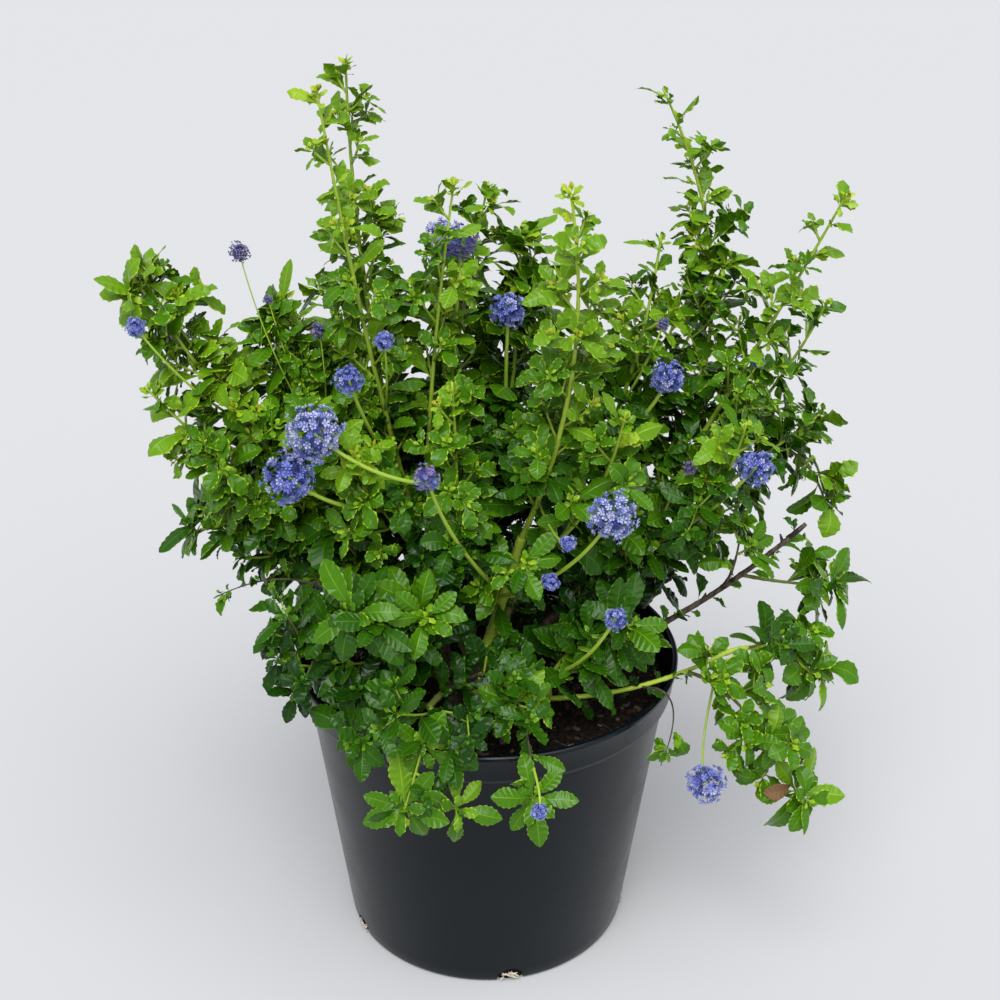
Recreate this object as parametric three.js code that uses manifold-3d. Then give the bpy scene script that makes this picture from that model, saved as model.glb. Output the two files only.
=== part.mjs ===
// A california lilac in a ten litre nursery pot: pot, compost, trunk, boughs and one solid per leafy shoot.
// Millimetres, Z up. The origin is the centre of the pot's flat underside. X is to the right, Y to the back.
import * as THREE from "three";
import { mergeVertices } from "three/addons/utils/BufferGeometryUtils.js";
import Module from "manifold-3d";

const wasm = await Module();
wasm.setup();

const gap = 0.3; // what pieces that touch keep between them

// ---------------------------------------------------------------- sizes
const pot = {
  height: 225,
  footRadius: 106,
  wallRadius: 132,
  collarRadius: 136.5,
  collarDrop: 24,
  lipRadius: 140,
  lipDrop: 4,
  wall: 2,
  floor: 3,
  corner: 4,
  sides: 36,
};
const drain = { count: 5, firstAngle: -80, radius: 10, height: 2.5 };
const compost = { level: 203, unevenness: 2.2, mound: 1.5, rings: 4, sides: 24 };

const trunk = {
  foot: [-22, -50, compost.level + compost.mound + gap],
  via: [-12.5, -48.5, 225],
  top: [-3, -46, 243],
  footRadius: 8.6,
  flareHeight: 8,
  radius: 6.2,
  topRadius: 5.2,
  sides: 10,
};

// Each bough leaves its parent at a share of the parent's length and tapers from one radius to the other.
const boughs = [
  { name: "bough_leader", on: "trunk", at: 1,
    via: [10, -42, 286], tip: [24, -42, 338], radii: [4.2, 3.2] },
  { name: "bough_left", brown: true, on: "trunk", at: 0.47,
    via: [-52, -16, 262], tip: [-90, 0, 304], radii: [3.4, 2.5] },
  { name: "bough_left_high", on: "trunk", at: 0.82,
    via: [-38, -6, 292], tip: [-60, 12, 350], radii: [3.4, 2.5] },
  { name: "bough_back_left", brown: true, on: "trunk", at: 0.27,
    via: [-42, 22, 244], tip: [-72, 78, 282], radii: [3.1, 2.4] },
  { name: "bough_back", on: "trunk", at: 0.51,
    via: [-8, 24, 254], tip: [0, 84, 300], radii: [3.1, 2.4] },
  { name: "bough_back_right", brown: true, on: "trunk", at: 0.71,
    via: [26, 24, 254], tip: [74, 70, 286], radii: [3.1, 2.4] },
  { name: "bough_right_high", on: "trunk", at: 0.91,
    via: [30, -4, 288], tip: [64, 26, 340], radii: [3.4, 2.5] },
  { name: "bough_right", brown: true, on: "trunk", at: 0.535,
    via: [54, -12, 264], tip: [112, 16, 318], radii: [3.6, 2.6] },
  { name: "bough_pruned", brown: true, on: "trunk", at: 0.29,
    via: [116, -8, 243], tip: [221, -20, 338], radii: [3.3, 1.8] },
  { name: "bough_low_right", on: "trunk", at: 0.4,
    via: [80, -70, 230], tip: [172, -32, 241], radii: [2.7, 2] },
  { name: "bough_front", on: "trunk", at: 0.47,
    via: [-26, -80, 240], tip: [-38, -112, 246], radii: [2.9, 2.2] },
  { name: "bough_front_left", on: "trunk", at: 0.29,
    via: [-54, -54, 250], tip: [-88, -62, 270], radii: [3.1, 2.4] },
  { name: "bough_inner_left", on: "trunk", at: 0.7,
    via: [-22, -54, 288], tip: [-48, -46, 330], radii: [3, 2.4] },
];

const boughStep = 18;
const crown = { middle: [0, 10], lift: 0.75 }; // leaves face up, and away from the middle

// Each shoot is one mass of foliage on a single stem. reach is how far its leaves may stand from the stem
// at its foot and at its tip, side is its longest side twig and leaf its largest leaf.
const shoots = [
  { name: "shoot_tall_left", on: "bough_left_high", at: 1,
    via: [-84, 28, 500], tip: [-92, 40, 642], reach: [74, 30], side: 46, leaf: 44 },
  { name: "shoot_tall_left_front", on: "bough_left_high", at: 0.84,
    via: [-80, -18, 478], tip: [-105, -20, 638], reach: [62, 28], side: 38, leaf: 42 },
  { name: "shoot_middle_left", on: "bough_left_high", at: 0.64,
    via: [-38, 2, 430], tip: [-22, 30, 568], reach: [64, 34], side: 46, leaf: 48 },
  { name: "shoot_middle_back", on: "bough_left_high", at: 0.5,
    via: [-26, 54, 410], tip: [0, 78, 552], reach: [64, 34], side: 46, leaf: 50 },
  { name: "shoot_centre_back", on: "bough_back", at: 0.66,
    via: [16, 60, 396], tip: [22, 58, 526], reach: [66, 40], side: 48, leaf: 54 },
  { name: "shoot_leader", on: "bough_leader", at: 1,
    via: [54, -70, 470], tip: [49, -80, 592], reach: [64, 30], side: 40, leaf: 44 },
  { name: "shoot_right_inner", on: "bough_right_high", at: 1,
    via: [98, 24, 428], tip: [117, 40, 528], reach: [64, 38], side: 46, leaf: 48 },
  { name: "shoot_right_tuft", on: "bough_right_high", at: 0.78,
    via: [88, 60, 396], tip: [122, 70, 476], reach: [60, 40], side: 40, leaf: 46 },
  { name: "shoot_tall_right", on: "bough_right", at: 0.9,
    via: [158, 66, 452], tip: [117, 80, 616], reach: [68, 30], side: 46, leaf: 46 },
  { name: "shoot_right", on: "bough_right", at: 1,
    via: [178, 22, 440], tip: [231, 0, 567], reach: [62, 30], side: 40, leaf: 42 },
  { name: "shoot_right_back", on: "bough_right", at: 0.84,
    via: [188, 56, 384], tip: [237, 60, 471], reach: [58, 34], side: 38, leaf: 42 },
  { name: "shoot_right_outer", on: "bough_right", at: 0.68,
    via: [178, 46, 340], tip: [241, 60, 387], reach: [58, 36], side: 38, leaf: 44 },
  { name: "shoot_left", on: "bough_left", at: 1,
    via: [-164, -8, 404], tip: [-237, -20, 529], reach: [68, 38], side: 54, leaf: 48 },
  { name: "shoot_left_upper", on: "bough_left", at: 0.9,
    via: [-112, 8, 390], tip: [-142, 8, 494], reach: [62, 44], side: 50, leaf: 50 },
  { name: "shoot_left_outer", on: "bough_left", at: 0.8,
    via: [-150, -30, 362], tip: [-224, -38, 446], reach: [58, 32], side: 44, leaf: 44 },
  { name: "shoot_left_middle", on: "bough_left", at: 0.66,
    via: [-134, -20, 304], tip: [-218, -4, 343], reach: [60, 40], side: 44, leaf: 54 },
  { name: "shoot_inner_left", on: "bough_left", at: 0.42,
    via: [-74, -34, 296], tip: [-104, -46, 350], reach: [60, 46], side: 44, leaf: 56 },
  { name: "twig_left_low", on: "bough_front_left", at: 0.76,
    via: [-124, -38, 300], tip: [-190, -40, 288], reach: [48, 26], side: 18, leaf: 30 },
  { name: "shoot_flowered_left", on: "bough_inner_left", at: 1,
    via: [-80, -60, 384], tip: [-122, -62, 446], reach: [62, 48], side: 46, leaf: 48 },
  { name: "shoot_centre_left", on: "bough_inner_left", at: 0.7,
    via: [-20, -64, 364], tip: [-22, -66, 462], reach: [60, 44], side: 46, leaf: 50 },
  { name: "shoot_big_leaves", on: "bough_front_left", at: 0.62,
    via: [-52, -84, 292], tip: [-88, -124, 326], reach: [60, 52], side: 44, leaf: 62 },
  { name: "shoot_low_left", on: "bough_front_left", at: 1,
    via: [-122, -88, 276], tip: [-156, -102, 262], reach: [58, 52], side: 42, leaf: 52 },
  { name: "shoot_low_left_front", on: "bough_front_left", at: 0.86,
    via: [-78, -104, 262], tip: [-94, -146, 222], reach: [52, 46], side: 36, leaf: 48 },
  { name: "shoot_drooping", on: "bough_front", at: 1,
    via: [-38, -150, 252], tip: [-56, -170, 190], reach: [52, 52], side: 38, leaf: 46 },
  { name: "shoot_front_small", on: "bough_front", at: 0.6,
    via: [16, -112, 262], tip: [32, -160, 200], reach: [46, 38], side: 26, leaf: 40 },
  { name: "shoot_flower_stalks", on: "bough_leader", at: 0.5,
    via: [8, -66, 312], tip: [26, -100, 350], reach: [50, 40], side: 34, leaf: 42 },
  { name: "shoot_centre_right", on: "bough_leader", at: 0.8,
    via: [66, -62, 370], tip: [88, -80, 448], reach: [62, 46], side: 46, leaf: 50 },
  { name: "shoot_low_right", on: "bough_low_right", at: 0.3,
    via: [58, -66, 262], tip: [98, -80, 292], reach: [56, 50], side: 40, leaf: 54 },
  { name: "shoot_inner_right", on: "bough_right", at: 0.5,
    via: [76, -20, 310], tip: [92, -32, 356], reach: [60, 46], side: 44, leaf: 54 },
  { name: "shoot_right_front", on: "bough_right", at: 0.86,
    via: [146, -24, 348], tip: [172, -36, 422], reach: [62, 46], side: 46, leaf: 50 },
  { name: "twig_pruned_bough", on: "bough_pruned", at: 0.74,
    via: [173, -27, 312], tip: [176, -24, 350], reach: [46, 40], side: 26, leaf: 38 },
  { name: "shoot_far_right", on: "bough_pruned", at: 0.8,
    via: [228, 10, 274], tip: [280, 36, 258], reach: [46, 40], side: 30, leaf: 46 },
  { name: "shoot_right_arching", on: "bough_back_right", at: 0.92,
    via: [196, 90, 350], tip: [262, 90, 288], reach: [50, 40], side: 36, leaf: 44 },
  { name: "shoot_low_far_right", on: "bough_low_right", at: 1,
    via: [214, -14, 232], tip: [250, -2, 200], reach: [48, 42], side: 34, leaf: 46 },
  { name: "shoot_hanging_right", on: "bough_low_right", at: 0.84,
    via: [186, -84, 216], tip: [231, -108, 138], reach: [48, 40], side: 34, leaf: 46 },
  { name: "twig_hanging_thin", on: "bough_low_right", at: 0.66,
    via: [128, -88, 232], tip: [122, -90, 184], reach: [36, 28], side: 0, leaf: 32 },
  { name: "shoot_back_left_high", on: "bough_back_left", at: 1,
    via: [-102, 118, 356], tip: [-122, 136, 460], reach: [66, 50], side: 50, leaf: 54 },
  { name: "shoot_back_left_low", on: "bough_back_left", at: 0.66,
    via: [-120, 86, 284], tip: [-196, 104, 316], reach: [64, 50], side: 46, leaf: 54 },
  { name: "shoot_back_high", on: "bough_back", at: 1,
    via: [-6, 128, 388], tip: [-10, 132, 496], reach: [66, 50], side: 50, leaf: 54 },
  { name: "shoot_back_low", on: "bough_back", at: 0.74,
    via: [-12, 136, 286], tip: [2, 206, 308], reach: [64, 52], side: 48, leaf: 56 },
  { name: "shoot_back_right_high", on: "bough_back_right", at: 1,
    via: [116, 112, 364], tip: [146, 126, 466], reach: [66, 50], side: 50, leaf: 54 },
  { name: "shoot_back_right_low", on: "bough_back_right", at: 0.78,
    via: [134, 90, 268], tip: [208, 120, 292], reach: [64, 50], side: 46, leaf: 54 },
  { name: "shoot_back_right_middle", on: "bough_back_right", at: 0.56,
    via: [56, 90, 344], tip: [74, 118, 428], reach: [64, 50], side: 46, leaf: 52 },
  { name: "shoot_left_back", on: "bough_left_high", at: 0.76,
    via: [-102, 56, 388], tip: [-152, 80, 466], reach: [62, 46], side: 48, leaf: 50 },
];

// Flower heads that show from a step away: the shoot that bears each, how far up its stem, the head's
// centre and diameter, and how far its stalk bows away from straight.
const heads = [
  { on: "shoot_centre_left", at: 0.7, centre: [-107, -98, 440], size: 35, bow: [4, -14, -14] },
  { on: "shoot_flowered_left", at: 0.45, centre: [-124, -100, 410], size: 31, bow: [0, -10, 0] },
  { on: "shoot_flower_stalks", at: 0.3, centre: [79, -116, 392], size: 31, bow: [8, -10, -12] },
  { on: "shoot_flower_stalks", at: 0.75, centre: [-36, -122, 421], size: 17, bow: [-4, -8, -4] },
  { on: "shoot_left_upper", at: 0.5, centre: [-160, -14, 530], size: 13, bow: [-10, -10, 0] },
  { on: "shoot_centre_back", at: 0.55, centre: [14, 24, 478], size: 24, bow: [0, -8, -6] },
  { on: "shoot_tall_left_front", at: 0.12, centre: [-88, -62, 461], size: 19, bow: [0, -12, 0] },
  { on: "shoot_tall_left_front", at: 0.3, centre: [-66, -44, 481], size: 12, bow: [0, -8, 0] },
  { on: "shoot_middle_back", at: 0.6, centre: [-18, 46, 519], size: 24, bow: [0, -6, -4] },
  { on: "shoot_right_inner", at: 0.3, centre: [121, -8, 442], size: 22, bow: [4, -8, -6] },
  { on: "shoot_right_front", at: 0.4, centre: [179, -46, 394], size: 24, bow: [6, -10, -8] },
  { on: "shoot_hanging_right", at: 0.3, centre: [152, -106, 181], size: 26, bow: [-6, -10, -4] },
  { on: "shoot_left", at: 0.6, centre: [-224, -46, 490], size: 12, bow: [0, -8, -4] },
  { on: "shoot_front_small", at: 0.75, centre: [35, -182, 214], size: 10, bow: [4, -8, 0] },
  { on: "shoot_leader", at: 0.12, centre: [52, -116, 373], size: 10, bow: [0, -10, -6] },
  { on: "shoot_low_right", at: 0.7, centre: [84, -116, 318], size: 15, bow: [0, -10, -6] },
  { on: "shoot_back_high", at: 0.6, centre: [-36, 168, 486], size: 26, bow: [0, 10, -6] },
  { on: "shoot_back_right_high", at: 0.5, centre: [168, 156, 448], size: 24, bow: [0, 8, -6] },
  { on: "shoot_back_left_low", at: 0.6, centre: [-186, 138, 346], size: 28, bow: [0, 8, -6] },
];

// ---------------------------------------------------------------- how a shoot grows
const growth = {
  node: 30, // from leaf to leaf along the main stem
  sideNode: 18, // the same along a side twig
  turn: THREE.MathUtils.degToRad(17.5), // 120 + 17.5 is the golden angle between one leaf and the next
  stemRadius: 2.1,
  twigRadius: 1.15,
  tipRadius: 0.85,
  stalkRadius: 1.3,
  leafWidth: 0.58, // as a share of the leaf's length
  leafThickness: 0.05,
  bluntLeaf: 28, // leaves longer than this have a blunt tip
  leafRise: 0.5, // how steeply a low leaf stands off its stem
  sideShare: 0.57, // how many of the nodes carry a side twig
  attempts: 4, // ways round that are tried before a leaf is left out
  clearOfLimb: 2.4,
  clearOfOthers: 1.2,
  sampling: 6,
};

// ---------------------------------------------------------------- colours
const potBlack = { color: 0x2b2f34, roughness: 0.5, metalness: 0 };
const compostBrown = { color: 0x2a201a, roughness: 0.95, metalness: 0 };
const barkBrown = { color: 0x6b5a45, roughness: 0.8, metalness: 0 };
const greenStem = { color: 0x8a9a4a, roughness: 0.6, metalness: 0 };
const leafGreens = [0x2f6b2c, 0x3f7d2f, 0x2a5f2e, 0x4c8c35];
const leafGloss = { roughness: 0.42, metalness: 0 };

// ---------------------------------------------------------------- helpers
const at = ([x, y, z]) => new THREE.Vector3(x, y, z);
const mix = (a, b, share) => a + (b - a) * share;
const upTo = (count, make) => Array.from({ length: count }, (_, k) => make(k));

function middleOf(points) {
  const sum = points.reduce((total, point) => total.add(point), at([0, 0, 0]));
  return sum.divideScalar(points.length);
}

// The same short sequence of numbers between 0 and 1 for the same seed.
function seeded(seed) {
  let state = seed >>> 0;
  const next = () => {
    state = (Math.imul(state, 1664525) + 1013904223) >>> 0;
    return state / 4294967296;
  };
  next();
  next();
  return next;
}

// The curve from start to tip that passes through via half way.
function curveThrough(start, via, tip) {
  const control = via.clone().multiplyScalar(2).addScaledVector(start, -0.5).addScaledVector(tip, -0.5);
  return new THREE.QuadraticBezierCurve3(start, control, tip);
}

// One closed surface that is drawn out ring by ring.
class Skin {
  constructor() {
    this.points = [];
    this.faces = [];
    this.barriers = [];
  }
  add(point) {
    this.points.push(point.clone());
    return this.points.length - 1;
  }
  addAll(points) {
    return points.map((point) => this.add(point));
  }
  face(a, b, c) {
    this.faces.push([a, b, c]);
  }
  // Joins a ring to the next one; both run the same way round and have as many points.
  band(lower, upper) {
    const n = lower.length;
    for (let k = 0; k < n; k++) {
      const l = (k + 1) % n;
      this.face(lower[k], lower[l], upper[l]);
      this.face(lower[k], upper[l], upper[k]);
    }
  }
  // Closes a ring towards its middle, facing along the growth or back from it.
  close(ring, middle, back = false) {
    const centre = this.add(middle);
    ring.forEach((a, k) => {
      const b = ring[(k + 1) % ring.length];
      if (back) this.face(b, a, centre);
      else this.face(a, b, centre);
    });
  }
  geometry() {
    const geometry = new THREE.BufferGeometry();
    const places = this.points.flatMap((point) => point.toArray());
    geometry.setAttribute("position", new THREE.Float32BufferAttribute(places, 3));
    geometry.setIndex(this.faces.flat());
    geometry.computeVertexNormals();
    return geometry;
  }
}

// The points of a ring across a direction, the first one on the side that toward points to.
function ringAround(centre, direction, radius, toward, count, turn = 0) {
  const first = toward.clone().addScaledVector(direction, -toward.dot(direction)).normalize();
  const second = new THREE.Vector3().crossVectors(direction, first);
  return upTo(count, (k) => {
    const angle = turn + (k * 2 * Math.PI) / count;
    const point = centre.clone().addScaledVector(first, radius * Math.cos(angle));
    return point.addScaledVector(second, radius * Math.sin(angle));
  });
}

// ---------------------------------------------------------------- limbs
// Where a limb or stem leaves its parent: on the parent's end, or on its side facing its own next point.
function seatOn(parent, share, toward) {
  const point = parent.curve.getPoint(share);
  const along = parent.curve.getTangent(share);
  if (share >= 1) return { start: point.addScaledVector(along, gap), direction: along };
  const out = toward.clone().sub(point);
  out.addScaledVector(along, -out.dot(along)).normalize();
  return { start: point.addScaledVector(out, parent.radiusAt(share) + gap), direction: out };
}

const limbs = new Map();

function makeTrunk() {
  const curve = curveThrough(at(trunk.foot), at(trunk.via), at(trunk.top));
  const length = curve.getLength();
  const flare = trunk.flareHeight / length;
  const radiusAt = (share) => {
    const straight = mix(trunk.radius, trunk.topRadius, share);
    const spread = share < flare ? (1 - share / flare) ** 2 : 0;
    return straight + (trunk.footRadius - trunk.radius) * spread;
  };
  return { curve, radiusAt };
}

// A tapering limb with a flat cut at each end. Its first ring lies flat on its seat.
function limbMesh(limb, steps, sides, level = false) {
  const skin = new Skin();
  const reference = new THREE.Vector3(0.3, -1, 0.2);
  let lower;
  for (let i = 0; i <= steps; i++) {
    const share = i / steps;
    const centre = limb.curve.getPoint(share);
    let direction = limb.curve.getTangent(share);
    if (i === 0) direction = level ? new THREE.Vector3(0, 0, 1) : limb.direction;
    const ring = skin.addAll(ringAround(centre, direction, limb.radiusAt(share), reference, sides));
    if (i === 0) skin.close(ring, centre, true);
    else skin.band(lower, ring);
    if (i === steps) skin.close(ring, centre);
    lower = ring;
  }
  return skin.geometry();
}

// ---------------------------------------------------------------- space
// Every stem's line, every limb and every flower stalk, as points that a leaf must keep clear of.
const stems = [];
const solids = [];

function sampled(curve, radiusAt, step) {
  const count = Math.max(2, Math.ceil(curve.getLength() / step));
  return upTo(count + 1, (k) => ({ point: curve.getPoint(k / count), radius: radiusAt(k / count) }));
}

// Whether a point lies outside the pot and its compost.
function clearOfPot(point) {
  const away = Math.hypot(point.x, point.y);
  if (point.z > pot.height + 2) return true;
  if (away < pot.wallRadius - 6) return point.z > compost.level + compost.mound + compost.unevenness + 1.5;
  return away > pot.lipRadius + 2 && point.z > 2;
}

// Points spread over a triangle, at most a step apart.
function spreadOver([a, b, c], step) {
  const count = Math.ceil(Math.max(a.distanceTo(b), b.distanceTo(c), c.distanceTo(a)) / step);
  const points = [];
  for (let i = 0; i <= count; i++) {
    for (let j = 0; i + j <= count; j++) {
      const along = a.clone().lerp(b, i / count);
      points.push(along.addScaledVector(c, j / count).addScaledVector(a, -j / count));
    }
  }
  return points;
}

// Whether all the points lie in the space of one shoot: near its own stem, nearer to it than to any other
// stem, and clear of every limb, flower stalk and flower head.
function inSpace(shoot, points) {
  const ball = new THREE.Sphere().setFromPoints(points);
  const reach = shoot.reach[0] + ball.radius + growth.clearOfOthers;
  const near = (sample) => sample.point.distanceTo(ball.center) < reach;
  const others = stems.filter((other) => other !== shoot).flatMap((other) => other.line.filter(near));
  const hardReach = ball.radius + growth.clearOfLimb;
  const hard = solids.filter((solid) => solid.point.distanceTo(ball.center) < hardReach + solid.radius);
  return points.every((point) => {
    if (!clearOfPot(point)) return false;
    const distances = shoot.line.map((sample) => sample.point.distanceTo(point));
    const own = Math.min(...distances);
    const share = distances.indexOf(own) / (shoot.line.length - 1);
    if (own > mix(shoot.reach[0], shoot.reach[1], share)) return false;
    if (others.some((sample) => sample.point.distanceTo(point) < own + growth.clearOfOthers)) return false;
    return hard.every((solid) => point.distanceTo(solid.point) > solid.radius + growth.clearOfLimb);
  });
}

// Whether any edge of one set of triangles passes through a triangle of the other. Triangles that share a
// corner with the edge only meet it there.
const ray = new THREE.Ray();
const hit = new THREE.Vector3();
function edgesPierce(edgesOf, triangles) {
  for (const [p, q, r] of edgesOf) {
    for (const [from, to] of [[p, q], [q, r], [r, p]]) {
      const length = from.distanceTo(to);
      const isEnd = (corner) => corner.distanceTo(from) < 1e-3 || corner.distanceTo(to) < 1e-3;
      ray.origin.copy(from);
      ray.direction.copy(to).sub(from).divideScalar(length);
      for (const corners of triangles) {
        if (corners.some(isEnd)) continue;
        if (ray.intersectTriangle(...corners, false, hit) && hit.distanceTo(from) < length) return true;
      }
    }
  }
  return false;
}

// Whether new triangles would cut through what the skin already has.
function crosses(skin, triangles) {
  const sphere = new THREE.Sphere().setFromPoints(triangles.flat());
  const barriers = skin.barriers.filter((barrier) => barrier.sphere.intersectsSphere(sphere));
  const near = barriers.map((barrier) => barrier.corners);
  return near.length > 0 && (edgesPierce(triangles, near) || edgesPierce(near, triangles));
}

function addBarriers(skin, triangles) {
  triangles.forEach((corners) => {
    skin.barriers.push({ corners, sphere: new THREE.Sphere().setFromPoints(corners) });
  });
}

// ---------------------------------------------------------------- growing
// The way out of a stem's facet, and the point that closes a small triangle on the facet's lower edge.
function socketOf(facet, lift = 2.4) {
  const [a, b, c, d] = facet.corners.map((index) => facet.skin.points[index]);
  const lowerMiddle = middleOf([a, b]);
  const upperMiddle = middleOf([c, d]);
  const along = upperMiddle.clone().sub(lowerMiddle);
  const height = Math.min(lift, along.length() * 0.5);
  along.normalize();
  const out = new THREE.Vector3().crossVectors(b.clone().sub(a), along).normalize();
  const top = lowerMiddle.clone().addScaledVector(along, height).addScaledVector(out, 0.15);
  return { triangle: [a, b, top], out, along };
}

// Turns a facet with something on it into real faces round the small triangle, which stays open.
function openSocket(facet, socket) {
  const skin = facet.skin;
  const [a, b, c, d] = facet.corners;
  const top = skin.add(socket.triangle[2]);
  skin.face(b, c, top);
  skin.face(c, d, top);
  skin.face(d, a, top);
  facet.used = true;
  return [a, b, top];
}

// The way the upper side of a leaf looks: up, and out from the middle of the crown.
function lightAt(point) {
  const out = new THREE.Vector3(point.x - crown.middle[0], point.y - crown.middle[1], 0);
  out.multiplyScalar(1 / (out.length() + 40));
  return new THREE.Vector3(out.x, out.y, crown.lift).normalize();
}

// A leaf on an open triangle: a folded blade turned to the light, widest past its middle, that curls down.
// A large leaf has a blunt tip with two corners, a small one comes to a point.
function leafShape(triangle, direction, length, curl) {
  const root = middleOf(triangle);
  const across = triangle[1].clone().sub(triangle[0]);
  across.addScaledVector(direction, -across.dot(direction)).normalize();
  const lit = new THREE.Vector3().crossVectors(lightAt(root), direction).normalize();
  if (lit.dot(across) < 0.1) lit.addScaledVector(across, 0.1 - lit.dot(across)).normalize();
  across.lerp(lit, 0.75);
  across.addScaledVector(direction, -across.dot(direction)).normalize();
  const upper = new THREE.Vector3().crossVectors(direction, across);
  const width = length * growth.leafWidth;
  const thick = Math.max(1.1, growth.leafThickness * length);
  const point = (along, side, rise) => {
    const middle = root.clone().addScaledVector(direction, along * length);
    return middle.addScaledVector(across, side * width).addScaledVector(upper, rise);
  };
  const ring = [point(0.56, -0.5, -thick * 0.5), point(0.56, 0.5, -thick * 0.5), point(0.52, 0, thick)];
  const tipSides = length > growth.bluntLeaf ? [-0.2, 0.2] : [0];
  return { ring, tip: tipSides.map((side) => point(1, side, -curl * length)) };
}

// The faces of a leaf, as corners counted through its open triangle, its ring and its tip. Its sides can be
// laid with their diagonals either way.
const leafSides = [
  [[0, 1, 4], [0, 4, 3], [1, 2, 5], [1, 5, 4], [2, 0, 3], [2, 3, 5]],
  [[0, 1, 3], [1, 4, 3], [1, 2, 4], [2, 5, 4], [2, 0, 5], [0, 3, 5]],
];
const bluntEnd = [[3, 4, 7], [3, 7, 6], [4, 5, 7], [5, 3, 6], [5, 6, 7]];
const pointedEnd = [[3, 4, 6], [4, 5, 6], [5, 3, 6]];

// Every way to join a leaf's ring to its open triangle, the least twisted first.
function waysToJoin(triangle, ring, tip) {
  const ends = tip.length > 1 ? bluntEnd : pointedEnd;
  const orders = [0, 1, 2].map((shift) => [0, 1, 2].map((k) => (k + shift) % 3));
  const twist = (order) => order.reduce((sum, k, side) => sum + triangle[k].distanceTo(ring[side]), 0);
  orders.sort((one, other) => twist(one) - twist(other));
  return orders.flatMap((order) =>
    leafSides.map((sides) => {
      const faces = [...sides, ...ends];
      const corners = [...order.map((k) => triangle[k]), ...ring, ...tip];
      return { order, faces, triangles: faces.map((face) => face.map((k) => corners[k])) };
    }),
  );
}

// Adds a leaf on an open triangle if it stays in the shoot's space and crosses nothing of it.
function addLeaf(shoot, skin, triangle, direction, length, curl, open) {
  const { ring, tip } = leafShape(triangle, direction, length, curl);
  const [left, right, ridge] = ring;
  const near = triangle[2].clone().lerp(ridge, 0.25);
  const blade = [[near, left, right], [left, right, tip[0]], [right, tip[0], tip[tip.length - 1]]];
  if (!inSpace(shoot, [ridge, ...blade.flatMap((part) => spreadOver(part, growth.sampling))])) return false;
  const way = waysToJoin(triangle, ring, tip).find(({ triangles }) => !edgesPierce(triangles, triangles));
  if (!way || crosses(skin, way.triangles)) return false;
  const root = open();
  const ids = [...way.order.map((k) => root[k]), ...skin.addAll([...ring, ...tip])];
  way.faces.forEach(([a, b, c]) => skin.face(ids[a], ids[b], ids[c]));
  addBarriers(skin, way.triangles);
  return true;
}

// The rings of a three-sided stem along a curve, each turned on a little from the one before. The curve lies
// in one plane, and the rings are turned from that plane's normal, which keeps them from twisting.
function stemRings(curve, shares, radiusAt, toward, turn) {
  const along = curve.getTangent(0);
  const normal = new THREE.Vector3().crossVectors(along, curve.getTangent(1)).normalize();
  const side = new THREE.Vector3().crossVectors(along, normal);
  const first = Math.atan2(toward.dot(side), toward.dot(normal));
  return shares.map((share, k) => {
    const direction = curve.getTangent(share);
    return ringAround(curve.getPoint(share), direction, radiusAt(share), normal, 3, first + turn * (k + 1));
  });
}

// The triangles of a three-sided stem's walls between one ring and the next.
function wallsBetween(lower, upper) {
  return [0, 1, 2].flatMap((side) => {
    const next = (side + 1) % 3;
    return [[lower[side], lower[next], upper[next]], [lower[side], upper[next], upper[side]]];
  });
}

// Makes the facets of a stem from an open triangle through its rings. They stay open until it is settled.
function layStem(skin, first, rings) {
  const facets = [];
  let lower = first;
  rings.forEach((ring, node) => {
    const upper = skin.addAll(ring);
    for (let side = 0; side < 3; side++) {
      const next = (side + 1) % 3;
      const corners = [lower[side], lower[next], upper[next], upper[side]];
      facets.push({ skin, node, side, corners, used: false });
    }
    addBarriers(skin, wallsBetween(lower.map((index) => skin.points[index]), ring));
    lower = upper;
  });
  return { facets, end: lower };
}

// Closes the facets that nothing grew from.
function settle(stem) {
  stem.facets.filter((facet) => !facet.used).forEach(({ skin, corners: [a, b, c, d] }) => {
    skin.face(a, b, c);
    skin.face(a, c, d);
  });
}

// A young leaf that ends a stem, or a plain bud where there is no room for one.
function endStem(shoot, skin, stem, direction, length) {
  const triangle = stem.end.map((index) => skin.points[index]);
  if (addLeaf(shoot, skin, triangle, direction, length, 0, () => stem.end)) return;
  skin.close(stem.end, middleOf(triangle).addScaledVector(direction, 1.6));
}

// A way off a facet: outwards, rising along the stem, with a little wander.
function leanFrom(socket, rise, random, spread) {
  const wander = () => (random() - 0.5) * 2 * spread;
  const direction = socket.out.clone().addScaledVector(socket.along, rise);
  direction.x += wander();
  direction.y += wander();
  direction.z += wander() + 0.08;
  return direction.normalize();
}

// Tries a leaf a few ways round, each smaller than the last, until one fits.
function tryLeaf(shoot, skin, socket, rise, size, random, open) {
  const curl = mix(0.06, 0.2, random());
  for (let attempt = 0; attempt < growth.attempts; attempt++) {
    const lean = leanFrom(socket, rise + 0.15 * attempt, random, 0.2 + 0.12 * attempt);
    const length = size * (1 - 0.16 * attempt);
    if (addLeaf(shoot, skin, socket.triangle, lean, length, curl, open)) return true;
  }
  return false;
}

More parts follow.
